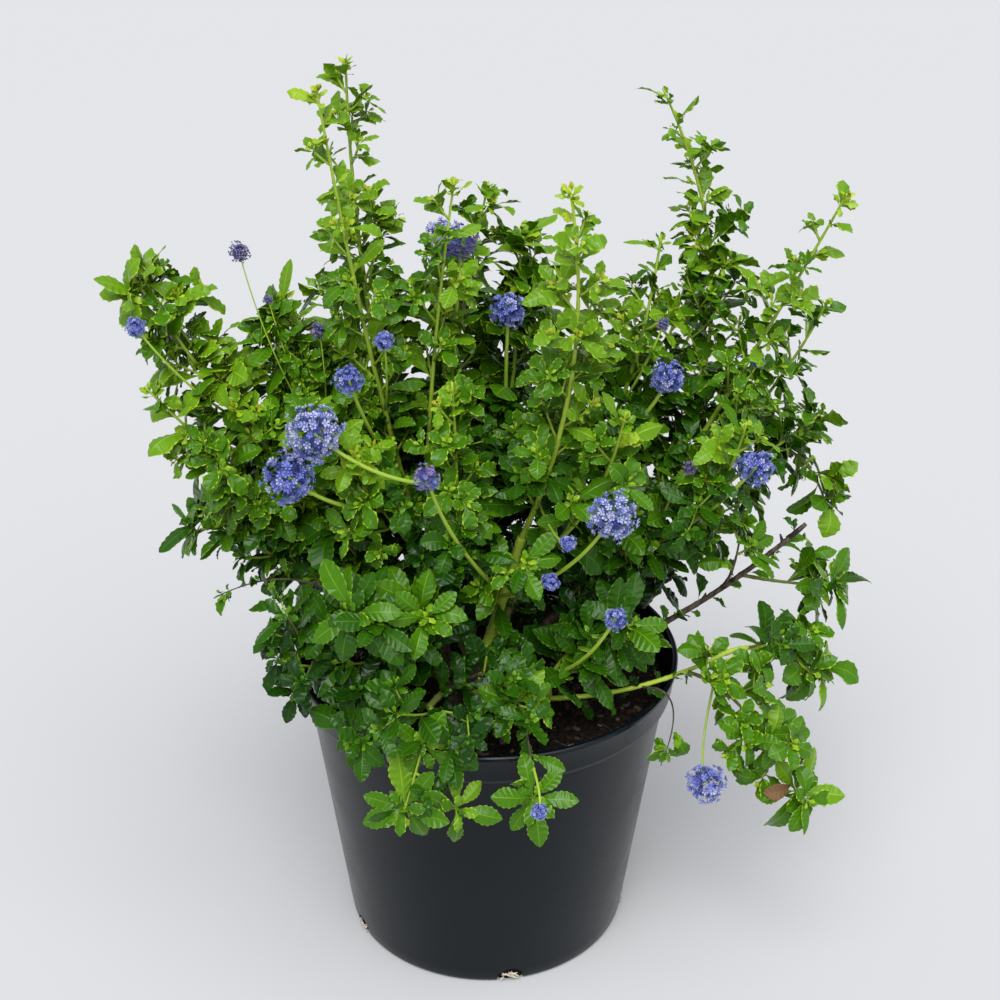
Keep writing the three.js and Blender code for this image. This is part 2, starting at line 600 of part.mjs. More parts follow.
// A side twig on a facet: short internodes with a leaf each, and a rosette at its end.
function addSideTwig(shoot, skin, facet, length, leaf, random) {
  const socket = socketOf(facet, 2.2);
  const direction = leanFrom(socket, 0.75, random, 0.25);
  const start = middleOf(socket.triangle);
  const middle = start.clone().addScaledVector(direction, length * 0.5);
  const rising = direction.clone().multiplyScalar(0.8);
  rising.z += 0.35;
  const tip = middle.clone().addScaledVector(rising.normalize(), length * 0.5);
  const curve = new THREE.QuadraticBezierCurve3(start, middle, tip);
  if (!inSpace(shoot, upTo(6, (k) => curve.getPoint((k + 1) / 6)))) return false;
  const count = Math.max(1, Math.round((length - 5) / growth.sideNode));
  const shares = [...upTo(count, (k) => ((k + 1) / count) * (1 - 5 / length)), 1];
  const radiusAt = (share) => mix(growth.twigRadius, growth.tipRadius, share);
  const toward = socket.triangle[0].clone().sub(start);
  const rings = stemRings(curve, shares, radiusAt, toward, growth.turn);
  const walls = rings.slice(1).flatMap((ring, k) => wallsBetween(rings[k], ring));
  if (crosses(skin, walls)) return false;
  const stem = layStem(skin, openSocket(facet, socket), rings);
  const last = rings.length - 1;
  const hasRoom = (bud) => bud.node > 0 || length < 20;
  const buds = stem.facets.filter((bud) => bud.node === last || (bud.side === bud.node % 3 && hasRoom(bud)));
  buds.forEach((bud) => {
    const budSocket = socketOf(bud, 1.6);
    const rise = bud.node === last ? 0.9 : growth.leafRise;
    const size = leaf * mix(0.95, 0.72, bud.node / rings.length) * mix(0.85, 1.1, random());
    tryLeaf(shoot, skin, budSocket, rise, size, random, () => openSocket(bud, budSocket));
  });
  endStem(shoot, skin, stem, curve.getTangent(1), leaf * 0.55);
  settle(stem);
  return true;
}

// The way of a flower's stalk, from the stem's facet that faces it to the head.
function stalkOf(head, facet) {
  const socket = socketOf(facet, 2.6);
  const start = middleOf(socket.triangle);
  const centre = at(head.centre);
  const control = start.clone().lerp(centre, 0.5).add(at(head.bow)).addScaledVector(socket.out, 8);
  return { socket, centre, curve: new THREE.QuadraticBezierCurve3(start, control, centre) };
}

// A flower head: a faceted ball on a stalk, turned so that the face that opens on the stalk looks down it.
function addHead(skin, facet, head) {
  const { socket, centre, curve } = head.stalk;
  const radius = head.size / 2;
  const length = curve.getLength();
  let reach = 1;
  while (curve.getPoint(reach).distanceTo(centre) < radius * 1.08) reach -= 0.01;
  const count = Math.max(2, Math.round(length / 26));
  const shares = upTo(count, (k) => (reach * (k + 1)) / count);
  const toward = socket.triangle[0].clone().sub(curve.getPoint(0));
  const rings = stemRings(curve, shares, () => growth.stalkRadius, toward, 0);
  const stem = layStem(skin, openSocket(facet, socket), rings);
  settle(stem);
  const round = new THREE.IcosahedronGeometry(radius, head.size > 25 ? 1 : 0);
  const ball = mergeVertices(round.deleteAttribute("uv").deleteAttribute("normal"));
  const place = ball.getAttribute("position");
  const corners = upTo(place.count, (k) => new THREE.Vector3().fromBufferAttribute(place, k));
  const faces = upTo(ball.index.count / 3, (k) => [0, 1, 2].map((side) => ball.index.getX(3 * k + side)));
  const facing = middleOf(faces[0].map((k) => corners[k])).normalize();
  const turn = new THREE.Quaternion().setFromUnitVectors(facing, curve.getTangent(reach).negate());
  corners.forEach((corner) => corner.applyQuaternion(turn).add(centre));
  const ending = stem.end.map((index) => skin.points[index]);
  const distance = (ring) => ring.reduce((sum, k, side) => sum + corners[k].distanceTo(ending[side]), 0);
  const [a, b, c] = faces[0];
  const openings = [[a, c, b], [c, b, a], [b, a, c]];
  const opening = openings.reduce((best, ring) => (distance(ring) < distance(best) ? ring : best));
  const ids = skin.addAll(corners);
  const closed = faces.slice(1);
  closed.forEach((face) => skin.face(...face.map((k) => ids[k])));
  skin.band(stem.end, opening.map((k) => ids[k]));
  addBarriers(skin, closed.map((face) => face.map((k) => corners[k])));
}

// ---------------------------------------------------------------- shoots
// Lays out each shoot's stem before anything grows, so that every shoot knows its neighbours.
function layOut(shoot, number) {
  const seat = seatOn(limbs.get(shoot.on), shoot.at, at(shoot.via));
  const curve = curveThrough(seat.start, at(shoot.via), at(shoot.tip));
  const length = curve.getLength();
  const count = Math.max(3, Math.round(length / growth.node));
  const end = 1 - (0.5 * shoot.leaf) / length;
  const shares = [...upTo(count, (k) => ((k + 1) / count) ** 0.92 * (end - 6 / length)), end];
  const radiusAt = (share) => mix(growth.stemRadius, growth.tipRadius, share);
  const skin = new Skin();
  const footRing = ringAround(seat.start, seat.direction, growth.stemRadius, at([0.4, -1, 0.3]), 3);
  const foot = skin.addAll(footRing);
  skin.close(foot, seat.start, true);
  const bend = new THREE.Quaternion().setFromUnitVectors(seat.direction, curve.getTangent(0));
  const toward = footRing[0].clone().sub(seat.start).applyQuaternion(bend);
  const rings = stemRings(curve, shares, radiusAt, toward, growth.turn);
  const stem = layStem(skin, foot, rings);
  return { ...shoot, number, seat, curve, skin, stem, rings, line: sampled(curve, radiusAt, 7) };
}

// Gives each flower head of a shoot the facet that faces it, before any leaf can take it.
function placeHeads(shoot) {
  const own = heads.filter((head) => head.on === shoot.name);
  shoot.heads = own.map((head) => {
    const centre = at(head.centre);
    const node = Math.max(1, Math.round(head.at * (shoot.rings.length - 2)));
    const choices = shoot.stem.facets.filter((facet) => facet.node === node && !facet.taken);
    const toward = (facet) => {
      const socket = socketOf(facet);
      return centre.clone().sub(socket.triangle[2]).normalize().dot(socket.out);
    };
    const facet = choices.reduce((best, choice) => (toward(choice) > toward(best) ? choice : best));
    facet.taken = true;
    const stalk = stalkOf(head, facet);
    solids.push(...sampled(stalk.curve, () => growth.stalkRadius, 6).slice(1));
    solids.push({ point: centre, radius: head.size / 2 });
    return { ...head, facet, stalk };
  });
}

// A shoot from foot to tip: flower heads first, then at each node a side twig and leaves where they fit.
function grow(shoot) {
  const random = seeded(7919 * (shoot.number + 3));
  const { skin, stem } = shoot;
  shoot.heads.forEach((head) => addHead(skin, head.facet, head));
  const last = shoot.rings.length - 1;
  upTo(last + 1, (node) => {
    const share = (node + 1) / (last + 1);
    const side = node % 3;
    const facetOn = (k) => stem.facets.find((facet) => facet.node === node && facet.side === k % 3);
    const size = shoot.leaf * mix(1, 0.6, share ** 1.4);
    const leafOn = (facet, scale) => {
      if (facet.used || facet.taken) return;
      const socket = socketOf(facet, 2.4);
      const rise = mix(growth.leafRise, 1, share);
      const length = size * scale * mix(0.88, 1.1, random());
      tryLeaf(shoot, skin, socket, rise, length, random, () => openSocket(facet, socket));
    };
    const twigLength = shoot.side * (1 - share) ** 0.55 * mix(0.7, 1.1, random());
    const branch = facetOn(side + 1);
    const branches = node < last && !branch.taken && twigLength > 13 && random() < growth.sideShare;
    const lengths = branches ? [1, 0.8, 0.6] : [];
    const twigOf = (scale) => addSideTwig(shoot, skin, branch, twigLength * scale, size * 0.92, random);
    const grown = lengths.some(twigOf);
    leafOn(facetOn(side), 1);
    if (!grown) leafOn(branch, 0.8);
    if (node >= last - 1) leafOn(facetOn(side + 2), 0.8);
  });
  endStem(shoot, skin, stem, shoot.curve.getTangent(1), shoot.leaf * 0.5);
  settle(stem);
  return skin.geometry();
}

// ---------------------------------------------------------------- pot and compost
function solidFrom(geometry) {
  const bare = geometry.clone().deleteAttribute("normal").deleteAttribute("uv");
  const merged = mergeVertices(bare, 1e-3);
  return new wasm.Manifold(
    new wasm.Mesh({
      numProp: 3,
      vertProperties: merged.getAttribute("position").array,
      triVerts: new Uint32Array(merged.index.array),
    }),
  );
}

function geometryFrom(solid) {
  const mesh = solid.getMesh();
  const positions = [];
  for (let k = 0; k < mesh.numVert; k++) {
    for (let axis = 0; axis < 3; axis++) positions.push(mesh.vertProperties[k * mesh.numProp + axis]);
  }
  const geometry = new THREE.BufferGeometry();
  geometry.setAttribute("position", new THREE.Float32BufferAttribute(positions, 3));
  geometry.setIndex(Array.from(mesh.triVerts));
  geometry.computeVertexNormals();
  return geometry;
}

// The inside of the pot's wall at a height above its underside.
function innerRadius(height) {
  const share = height / (pot.height - pot.collarDrop);
  return mix(pot.footRadius, pot.wallRadius, share) - pot.wall;
}

function potMesh() {
  const ledge = pot.height - pot.collarDrop;
  const profile = [
    [0, 0],
    [pot.footRadius - pot.corner, 0],
    [pot.footRadius - 0.8, 1.2],
    [pot.footRadius + 0.4, pot.corner],
    [pot.wallRadius, ledge],
    [pot.collarRadius, ledge + 1],
    [pot.collarRadius + 1.6, pot.height - pot.lipDrop],
    [pot.lipRadius, pot.height - pot.lipDrop + 0.6],
    [pot.lipRadius, pot.height],
    [pot.lipRadius - 3.4, pot.height],
    [pot.collarRadius - pot.wall, ledge + 4],
    [innerRadius(ledge), ledge - 1],
    [innerRadius(pot.floor + 3), pot.floor + 3],
    [innerRadius(pot.floor) - 3, pot.floor],
    [0, pot.floor],
  ].map(([r, z]) => new THREE.Vector2(r, z));
  const turned = new THREE.LatheGeometry(profile, pot.sides).rotateX(Math.PI / 2);
  let shell = solidFrom(turned);
  for (let k = 0; k < drain.count; k++) {
    const angle = THREE.MathUtils.degToRad(drain.firstAngle - (k * 360) / drain.count);
    const cutter = new THREE.CylinderGeometry(drain.radius, drain.radius, 30, 12)
      .rotateX(Math.PI / 2)
      .rotateY(Math.PI / 2)
      .rotateX(Math.PI / 2)
      .translate(pot.footRadius - 2, 0, drain.height)
      .rotateZ(angle);
    shell = shell.subtract(solidFrom(cutter));
  }
  return geometryFrom(shell);
}

// Compost up to its level, its top gently uneven but flat and a little higher round the trunk.
function compostMesh() {
  const random = seeded(4211);
  const skin = new Skin();
  const [footX, footY] = trunk.foot;
  const ringAt = (radius, height, aside = 0) =>
    upTo(compost.sides, (k) => {
      const angle = (k * 2 * Math.PI) / compost.sides;
      const x = footX * aside + radius * Math.cos(angle);
      const y = footY * aside + radius * Math.sin(angle);
      return new THREE.Vector3(x, y, height);
    });
  const floor = pot.floor + gap;
  const clearRadius = (height) => innerRadius(height) * Math.cos(Math.PI / pot.sides) - gap;
  const under = skin.addAll(ringAt(clearRadius(pot.floor) - 3.4, floor));
  skin.close(under, new THREE.Vector3(0, 0, floor), true);
  const corner = skin.addAll(ringAt(clearRadius(pot.floor + 3), pot.floor + 3));
  skin.band(under, corner);
  const edge = clearRadius(compost.level - 5);
  let lower = skin.addAll(ringAt(edge, compost.level - 5));
  skin.band(corner, lower);
  // The rings close in on the trunk's foot, and the innermost is the level top of the mound round it.
  for (let k = compost.rings; k > 0; k--) {
    const radius = k === compost.rings ? edge - 0.6 : (edge * k) / compost.rings;
    const ring = ringAt(radius, compost.level, 1 - k / compost.rings);
    ring.forEach((point) => {
      point.z += k > 1 ? compost.unevenness * (random() * 2 - 1) : compost.mound;
    });
    const upper = skin.addAll(ring);
    skin.band(lower, upper);
    lower = upper;
  }
  skin.close(lower, new THREE.Vector3(footX, footY, compost.level + compost.mound));
  return skin.geometry();
}

// ---------------------------------------------------------------- assembly
const plant = new THREE.Group();
plant.name = "potted_california_lilac";
const container = new THREE.Group();
const wood = new THREE.Group();
const foliage = new THREE.Group();
plant.add(container, wood, foliage);

// Adds a piece to its group, placed at its own foot.
function put(group, name, geometry, look, foot = at([0, 0, 0])) {
  geometry.translate(-foot.x, -foot.y, -foot.z);
  const mesh = new THREE.Mesh(geometry, new THREE.MeshStandardMaterial(look));
  mesh.name = name;
  mesh.position.copy(foot);
  group.add(mesh);
}

put(container, "pot", potMesh(), potBlack);
put(container, "compost", compostMesh(), compostBrown, at([0, 0, pot.floor + gap]));

limbs.set("trunk", makeTrunk());
put(wood, "trunk", limbMesh(limbs.get("trunk"), 6, trunk.sides, true), barkBrown, at(trunk.foot));

boughs.forEach((bough) => {
  const seat = seatOn(limbs.get(bough.on), bough.at, at(bough.via));
  const curve = curveThrough(seat.start, at(bough.via), at(bough.tip));
  const radiusAt = (share) => mix(bough.radii[0], bough.radii[1], share);
  const limb = { curve, radiusAt, direction: seat.direction };
  limbs.set(bough.name, limb);
  const steps = Math.max(4, Math.round(curve.getLength() / boughStep));
  put(wood, bough.name, limbMesh(limb, steps, 6), bough.brown ? barkBrown : greenStem, seat.start);
});
limbs.forEach((limb) => solids.push(...sampled(limb.curve, limb.radiusAt, 5)));

stems.push(...shoots.map(layOut));
stems.forEach(placeHeads);
stems.forEach((shoot) => {
  const look = { color: leafGreens[shoot.number % leafGreens.length], ...leafGloss };
  put(foliage, shoot.name, grow(shoot), look, shoot.seat.start);
});

export default plant;
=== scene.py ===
"""The looks of a california lilac in its black nursery pot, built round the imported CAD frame.

Sizes below are millimetres, as in the part's source; meshes are made in metres. Each shoot grows again from
its seat by the source's rule: a stem through three points, a leaf at each node a golden angle on from the
last, and side twigs that end in a rosette, all within the shoot's own reach. Here the nodes are closer, the
leaves are life size, and tufts, whorls, growing tips and flowers are added.
"""

import math

import bpy
import numpy as np
from mathutils import Matrix, Vector, kdtree, noise


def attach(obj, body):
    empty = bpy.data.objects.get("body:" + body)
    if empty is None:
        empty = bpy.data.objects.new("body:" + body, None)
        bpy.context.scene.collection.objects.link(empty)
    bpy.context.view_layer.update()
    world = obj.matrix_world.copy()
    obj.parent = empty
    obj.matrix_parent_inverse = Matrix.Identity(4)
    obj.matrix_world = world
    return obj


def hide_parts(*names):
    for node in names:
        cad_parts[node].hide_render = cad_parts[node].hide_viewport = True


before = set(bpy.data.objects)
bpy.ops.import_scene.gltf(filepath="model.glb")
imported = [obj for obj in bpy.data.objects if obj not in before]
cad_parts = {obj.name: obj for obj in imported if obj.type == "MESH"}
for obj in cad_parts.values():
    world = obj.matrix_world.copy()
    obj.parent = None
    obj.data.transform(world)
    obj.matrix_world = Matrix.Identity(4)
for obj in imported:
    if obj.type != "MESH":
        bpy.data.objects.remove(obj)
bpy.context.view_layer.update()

MM = 0.001
# in one piece
MOST_TRIANGLES = 200000

# ---------------------------------------------------------------- sizes
# GAP to HEADS are as in the part's source, but for sides, edge_gap and the last value of each row of SHOOTS
# and HEADS
GAP = 0.3
POT = {
    "height": 225, "foot": 106, "wall_radius": 132, "collar": 136.5, "collar_drop": 24,
    "lip": 140, "lip_drop": 4, "wall": 2, "floor": 3, "sides": 144,
}
DRAIN = {"count": 5, "first_angle": -80, "radius": 10, "height": 2.5}
COMPOST = {"level": 203, "mound": 1.5, "edge_gap": 1.2}
TRUNK = {
    "foot": (-22, -50, 204.8), "via": (-12.5, -48.5, 225), "top": (-3, -46, 243),
    "foot_radius": 8.6, "flare": 8, "radius": 6.2, "top_radius": 5.2,
}
# name, share of the trunk's length, halfway point, tip, radii at foot and tip, and whether it's in bark
BOUGHS = [
    ("bough_leader", 1, (10, -42, 286), (24, -42, 338), (4.2, 3.2), False),
    ("bough_left", 0.47, (-52, -16, 262), (-90, 0, 304), (3.4, 2.5), True),
    ("bough_left_high", 0.82, (-38, -6, 292), (-60, 12, 350), (3.4, 2.5), False),
    ("bough_back_left", 0.27, (-42, 22, 244), (-72, 78, 282), (3.1, 2.4), True),
    ("bough_back", 0.51, (-8, 24, 254), (0, 84, 300), (3.1, 2.4), False),
    ("bough_back_right", 0.71, (26, 24, 254), (74, 70, 286), (3.1, 2.4), True),
    ("bough_right_high", 0.91, (30, -4, 288), (64, 26, 340), (3.4, 2.5), False),
    ("bough_right", 0.535, (54, -12, 264), (112, 16, 318), (3.6, 2.6), True),
    ("bough_pruned", 0.29, (116, -8, 243), (221, -20, 338), (3.3, 1.8), True),
    ("bough_low_right", 0.4, (80, -70, 230), (172, -32, 241), (2.7, 2), False),
    ("bough_front", 0.47, (-26, -80, 240), (-38, -112, 246), (2.9, 2.2), False),
    ("bough_front_left", 0.29, (-54, -54, 250), (-88, -62, 270), (3.1, 2.4), False),
    ("bough_inner_left", 0.7, (-22, -54, 288), (-48, -46, 330), (3, 2.4), False),
]

# name, its bough, share of the bough's length, halfway point, tip, reach at foot and tip, longest side twig,
# largest leaf of the solid, and how young the foliage looks from 0 to 1
SHOOTS = [
    ("shoot_tall_left", "left_high", 1, (-84, 28, 500), (-92, 40, 642), (74, 30), 46, 44, 0.7),
    ("shoot_tall_left_front", "left_high", 0.84, (-80, -18, 478), (-105, -20, 638), (62, 28), 38, 42, 0.8),
    ("shoot_middle_left", "left_high", 0.64, (-38, 2, 430), (-22, 30, 568), (64, 34), 46, 48, 0.75),
    ("shoot_middle_back", "left_high", 0.5, (-26, 54, 410), (0, 78, 552), (64, 34), 46, 50, 0.5),
    ("shoot_centre_back", "back", 0.66, (16, 60, 396), (22, 58, 526), (66, 40), 48, 54, 0.35),
    ("shoot_leader", "leader", 1, (54, -70, 470), (49, -80, 592), (64, 30), 40, 44, 0.8),
    ("shoot_right_inner", "right_high", 1, (98, 24, 428), (117, 40, 528), (64, 38), 46, 48, 0.65),
    ("shoot_right_tuft", "right_high", 0.78, (88, 60, 396), (122, 70, 476), (60, 40), 40, 46, 0.5),
    ("shoot_tall_right", "right", 0.9, (158, 66, 452), (117, 80, 616), (68, 30), 46, 46, 0.65),
    ("shoot_right", "right", 1, (178, 22, 440), (231, 0, 567), (62, 30), 40, 42, 0.7),
    ("shoot_right_back", "right", 0.84, (188, 56, 384), (237, 60, 471), (58, 34), 38, 42, 0.6),
    ("shoot_right_outer", "right", 0.68, (178, 46, 340), (241, 60, 387), (58, 36), 38, 44, 0.3),
    ("shoot_left", "left", 1, (-164, -8, 404), (-237, -20, 529), (68, 38), 54, 48, 0.7),
    ("shoot_left_upper", "left", 0.9, (-112, 8, 390), (-142, 8, 494), (62, 44), 50, 50, 0.6),
    ("shoot_left_outer", "left", 0.8, (-150, -30, 362), (-224, -38, 446), (58, 32), 44, 44, 0.6),
    ("shoot_left_middle", "left", 0.66, (-134, -20, 304), (-218, -4, 343), (60, 40), 44, 54, 0.3),
    ("shoot_inner_left", "left", 0.42, (-74, -34, 296), (-104, -46, 350), (60, 46), 44, 56, 0.1),
    ("twig_left_low", "front_left", 0.76, (-124, -38, 300), (-190, -40, 288), (48, 26), 18, 30, 0.2),
    ("shoot_flowered_left", "inner_left", 1, (-80, -60, 384), (-122, -62, 446), (62, 48), 46, 48, 0.45),
    ("shoot_centre_left", "inner_left", 0.7, (-20, -64, 364), (-22, -66, 462), (60, 44), 46, 50, 0.6),
    ("shoot_big_leaves", "front_left", 0.62, (-52, -84, 292), (-88, -124, 326), (60, 52), 44, 62, 0.1),
    ("shoot_low_left", "front_left", 1, (-122, -88, 276), (-156, -102, 262), (58, 52), 42, 52, 0.25),
    ("shoot_low_left_front", "front_left", 0.86, (-78, -104, 262), (-94, -146, 222), (52, 46), 36, 48, 0.35),
    ("shoot_drooping", "front", 1, (-38, -150, 252), (-56, -170, 190), (52, 52), 38, 46, 0.45),
    ("shoot_front_small", "front", 0.6, (16, -112, 262), (32, -160, 200), (46, 38), 26, 40, 0.5),
    ("shoot_flower_stalks", "leader", 0.5, (8, -66, 312), (26, -100, 350), (50, 40), 34, 42, 0.5),
    ("shoot_centre_right", "leader", 0.8, (66, -62, 370), (88, -80, 448), (62, 46), 46, 50, 0.6),
    ("shoot_low_right", "low_right", 0.3, (58, -66, 262), (98, -80, 292), (56, 50), 40, 54, 0.3),
    ("shoot_inner_right", "right", 0.5, (76, -20, 310), (92, -32, 356), (60, 46), 44, 54, 0.2),
    ("shoot_right_front", "right", 0.86, (146, -24, 348), (172, -36, 422), (62, 46), 46, 50, 0.4),
    ("twig_pruned_bough", "pruned", 0.74, (173, -27, 312), (176, -24, 350), (46, 40), 26, 38, 0.1),
    ("shoot_far_right", "pruned", 0.8, (228, 10, 274), (280, 36, 258), (46, 40), 30, 46, 0.15),
    ("shoot_right_arching", "back_right", 0.92, (196, 90, 350), (262, 90, 288), (50, 40), 36, 44, 0.2),
    ("shoot_low_far_right", "low_right", 1, (214, -14, 232), (250, -2, 200), (48, 42), 34, 46, 0.2),
    ("shoot_hanging_right", "low_right", 0.84, (186, -84, 216), (231, -108, 138), (48, 40), 34, 46, 0.2),
    ("twig_hanging_thin", "low_right", 0.66, (128, -88, 232), (122, -90, 184), (36, 28), 0, 32, 0.3),
    ("shoot_back_left_high", "back_left", 1, (-102, 118, 356), (-122, 136, 460), (66, 50), 50, 54, 0.6),
    ("shoot_back_left_low", "back_left", 0.66, (-120, 86, 284), (-196, 104, 316), (64, 50), 46, 54, 0.3),
    ("shoot_back_high", "back", 1, (-6, 128, 388), (-10, 132, 496), (66, 50), 50, 54, 0.6),
    ("shoot_back_low", "back", 0.74, (-12, 136, 286), (2, 206, 308), (64, 52), 48, 56, 0.3),
    ("shoot_back_right_high", "back_right", 1, (116, 112, 364), (146, 126, 466), (66, 50), 50, 54, 0.6),
    ("shoot_back_right_low", "back_right", 0.78, (134, 90, 268), (208, 120, 292), (64, 50), 46, 54, 0.3),
    ("shoot_back_right_middle", "back_right", 0.56, (56, 90, 344), (74, 118, 428), (64, 50), 46, 52, 0.45),
    ("shoot_left_back", "left_high", 0.76, (-102, 56, 388), (-152, 80, 466), (62, 46), 48, 50, 0.5),
]

# shoot, share of its stem, centre, diameter, bow of the stalk, and how far the bloom is
HEADS = [
    ("shoot_centre_left", 0.7, (-107, -98, 440), 35, (4, -14, -14), "pale"),
    ("shoot_flowered_left", 0.45, (-124, -100, 410), 31, (0, -10, 0), "open"),
    ("shoot_flower_stalks", 0.3, (79, -116, 392), 31, (8, -10, -12), "pale"),
    ("shoot_flower_stalks", 0.75, (-36, -122, 421), 17, (-4, -8, -4), "faded"),
    ("shoot_left_upper", 0.5, (-160, -14, 530), 13, (-10, -10, 0), "old"),
    ("shoot_centre_back", 0.55, (14, 24, 478), 24, (0, -8, -6), "open"),
    ("shoot_tall_left_front", 0.12, (-88, -62, 461), 19, (0, -12, 0), "open"),
    ("shoot_tall_left_front", 0.3, (-66, -44, 481), 12, (0, -8, 0), "open"),
    ("shoot_middle_back", 0.6, (-18, 46, 519), 24, (0, -6, -4), "faded"),
    ("shoot_right_inner", 0.3, (121, -8, 442), 22, (4, -8, -6), "open"),
    ("shoot_right_front", 0.4, (179, -46, 394), 24, (6, -10, -8), "open"),
    ("shoot_hanging_right", 0.3, (152, -106, 181), 26, (-6, -10, -4), "open"),
    ("shoot_left", 0.6, (-224, -46, 490), 12, (0, -8, -4), "open"),
    ("shoot_front_small", 0.75, (35, -182, 214), 10, (4, -8, 0), "open"),
    ("shoot_leader", 0.12, (52, -116, 373), 10, (0, -10, -6), "open"),
    ("shoot_low_right", 0.7, (84, -116, 318), 15, (0, -10, -6), "open"),
    ("shoot_back_high", 0.6, (-36, 168, 486), 26, (0, 10, -6), "pale"),
    ("shoot_back_right_high", 0.5, (168, 156, 448), 24, (0, 8, -6), "open"),
    ("shoot_back_left_low", 0.6, (-186, 138, 346), 28, (0, 8, -6), "open"),
]
# blooms that the solids leave out
SMALL_HEADS = [
    ("shoot_middle_back", 0.55, (-32, 60, 506), 20, (0, -4, 0), "open"),
    ("shoot_left_upper", 0.7, (-110, -20, 479), 12, (0, -6, 0), "old"),
    ("shoot_left_upper", 0.5, (-144, -8, 496), 7, (-6, -6, 0), "old"),
    ("shoot_left", 0.7, (-220, -10, 500), 7, (0, 0, 0), "open"),
    ("shoot_flower_stalks", 0.6, (42, -104, 338), 11, (0, -4, 0), "open"),
    ("shoot_right_front", 0.3, (135, -44, 392), 10, (0, -6, 0), "old"),
    ("shoot_right_inner", 0.55, (118, 6, 475), 9, (0, -4, 0), "old"),
    ("shoot_right", 0.3, (184, 6, 448), 8, (0, -4, 0), "open"),
    ("shoot_low_right", 0.4, (76, -70, 258), 7, (0, -4, 0), "open"),
]

GOLDEN = math.radians(137.5)
GROWTH = {
    "cad_node": 30, "node": 12, "side_node": 9.5,
    "stem_radius": 2.1, "twig_radius": 1.0, "tip_radius": 0.75, "stalk_radius": 1.5,
    "life_size": 0.95, "side_share": 0.8, "attempts": 3, "clear_of_limb": 1.2,
    "whorl_inset": 4, "tip_inset": 11,
}
# radians of a random turn: a hair over a whole one among the leaves, and a whole one on the compost
ANY_TURN = 6.3
WHOLE_TURN = 6.2832
# where leaves are darker: near the crown's middle, for their age and as painted shade, and low down, as
# painted shade, though hardly on the lit right side, and from which height on they are paler, as painted
# light
PAINTED_LIGHT_AND_SHADE = {
    "radius": 120, "middle_height": 230, "middle_rise": 260, "low": 190, "low_rise": 175,
    "lit_side": 120, "lit_share": 0.1, "high": 400, "high_rise": 150,
}
# how much of a twig is bare before its first leaves
BARE = {"twig_left_low": 0.6, "twig_hanging_thin": 0.7, "shoot_far_right": 0.3, "twig_pruned_bough": 0.4}
# how thin a few twigs are beside the other shoots
SLENDER = {
    "twig_hanging_thin": 0.4, "twig_left_low": 0.5, "twig_pruned_bough": 0.6, "shoot_front_small": 0.6,
    "shoot_drooping": 0.65, "shoot_low_left_front": 0.7, "shoot_hanging_right": 0.7, "shoot_far_right": 0.7,
}
# the youngest boughs and stems, still bright green and made lighter still as painted light against the
# crown's shade, and the twigs in brown bark
YOUNG_PAINTED_LIT = {"bough_leader", "bough_low_right", "shoot_leader", "shoot_low_far_right"}
BROWN = {"twig_left_low", "twig_pruned_bough", "twig_hanging_thin", "shoot_front_small"}
# how much closer, or below 1 wider apart, the leaves stand on some shoots
CROWDED = {
    "shoot_left": 1.7, "shoot_left_outer": 1.5, "shoot_left_upper": 1.6, "shoot_tall_left": 1.1,
    "shoot_tall_left_front": 1.1, "shoot_centre_left": 1.3, "shoot_flowered_left": 1.3,
    "shoot_low_right": 1.2, "shoot_inner_right": 1.2, "shoot_left_middle": 1.2, "shoot_back_low": 1.3,
    "shoot_centre_back": 1.3, "shoot_back_high": 1.2, "shoot_tall_right": 1.2,
    "shoot_low_left": 0.75, "shoot_low_left_front": 0.7, "shoot_drooping": 0.75, "shoot_front_small": 1.1,
    "shoot_hanging_right": 0.7, "shoot_low_far_right": 0.7, "shoot_far_right": 0.7,
    "shoot_right_arching": 0.75, "shoot_big_leaves": 0.75,
}
# bough, the shoot its leaves go with, from and to where along it, spacing and leaf length
CLOTHED = [
    ("bough_low_right", "shoot_low_far_right", 0.12, 0.97, 10, 16),
    ("bough_leader", "shoot_leader", 0.3, 0.95, 16, 17),
    ("bough_pruned", "shoot_far_right", 0.4, 0.97, 11, 18),
    ("bough_left", "shoot_left", 0.3, 1, 10, 24),
    ("bough_left_high", "shoot_tall_left", 0.3, 1, 9, 24),
    ("bough_back_left", "shoot_back_left_high", 0.35, 1, 11, 25),
    ("bough_back", "shoot_back_high", 0.3, 1, 5, 28),
    ("bough_back_right", "shoot_back_right_high", 0.35, 1, 10, 25),
    ("bough_right_high", "shoot_right_inner", 0.3, 1, 9, 24),
    ("bough_right", "shoot_right", 0.25, 1, 10, 24),
    ("bough_front", "shoot_drooping", 0.3, 1, 9, 24),
    ("bough_front_left", "shoot_low_left", 0.35, 1, 9, 27),
    ("bough_inner_left", "shoot_flowered_left", 0.3, 1, 9, 24),
]
# foliage tones, from the oldest leaves inside, whose dark tones also serve as painted shade inside and low in
# the crown, to the growing tips, then three odd ones
DEEP, DARK, GREEN, FRESH, YOUNG, TIP, OCHRE, DEAD, PALE_LEAF = range(9)
# shoot, how far along it, the way the leaf points, its length and its tone
ODD_LEAVES = [
    ("shoot_hanging_right", 0.8, (-0.9, -0.7, 0), 27, DEAD),
    ("shoot_front_small", 0.2, (0.3, -0.3, -0.6), 13, OCHRE),
    ("shoot_low_right", 0.62, (0.2, -0.7, 0.2), 27, PALE_LEAF),
]
# where two stalks leave their stems in the finer growth, a node or so above the solid's
STALK_FEET = {"shoot_centre_left": 0.95, "shoot_front_small": 1.5}
# how thin the stalks of a few small or hanging blooms are
THIN_STALKS = {"shoot_hanging_right": 0.55, "shoot_left_upper": 0.6}
# the shoots with the narrowest leaves
NARROW = {
    "shoot_big_leaves", "shoot_low_left", "shoot_low_left_front", "shoot_drooping", "shoot_front_small",
    "shoot_flower_stalks", "shoot_low_right",
}
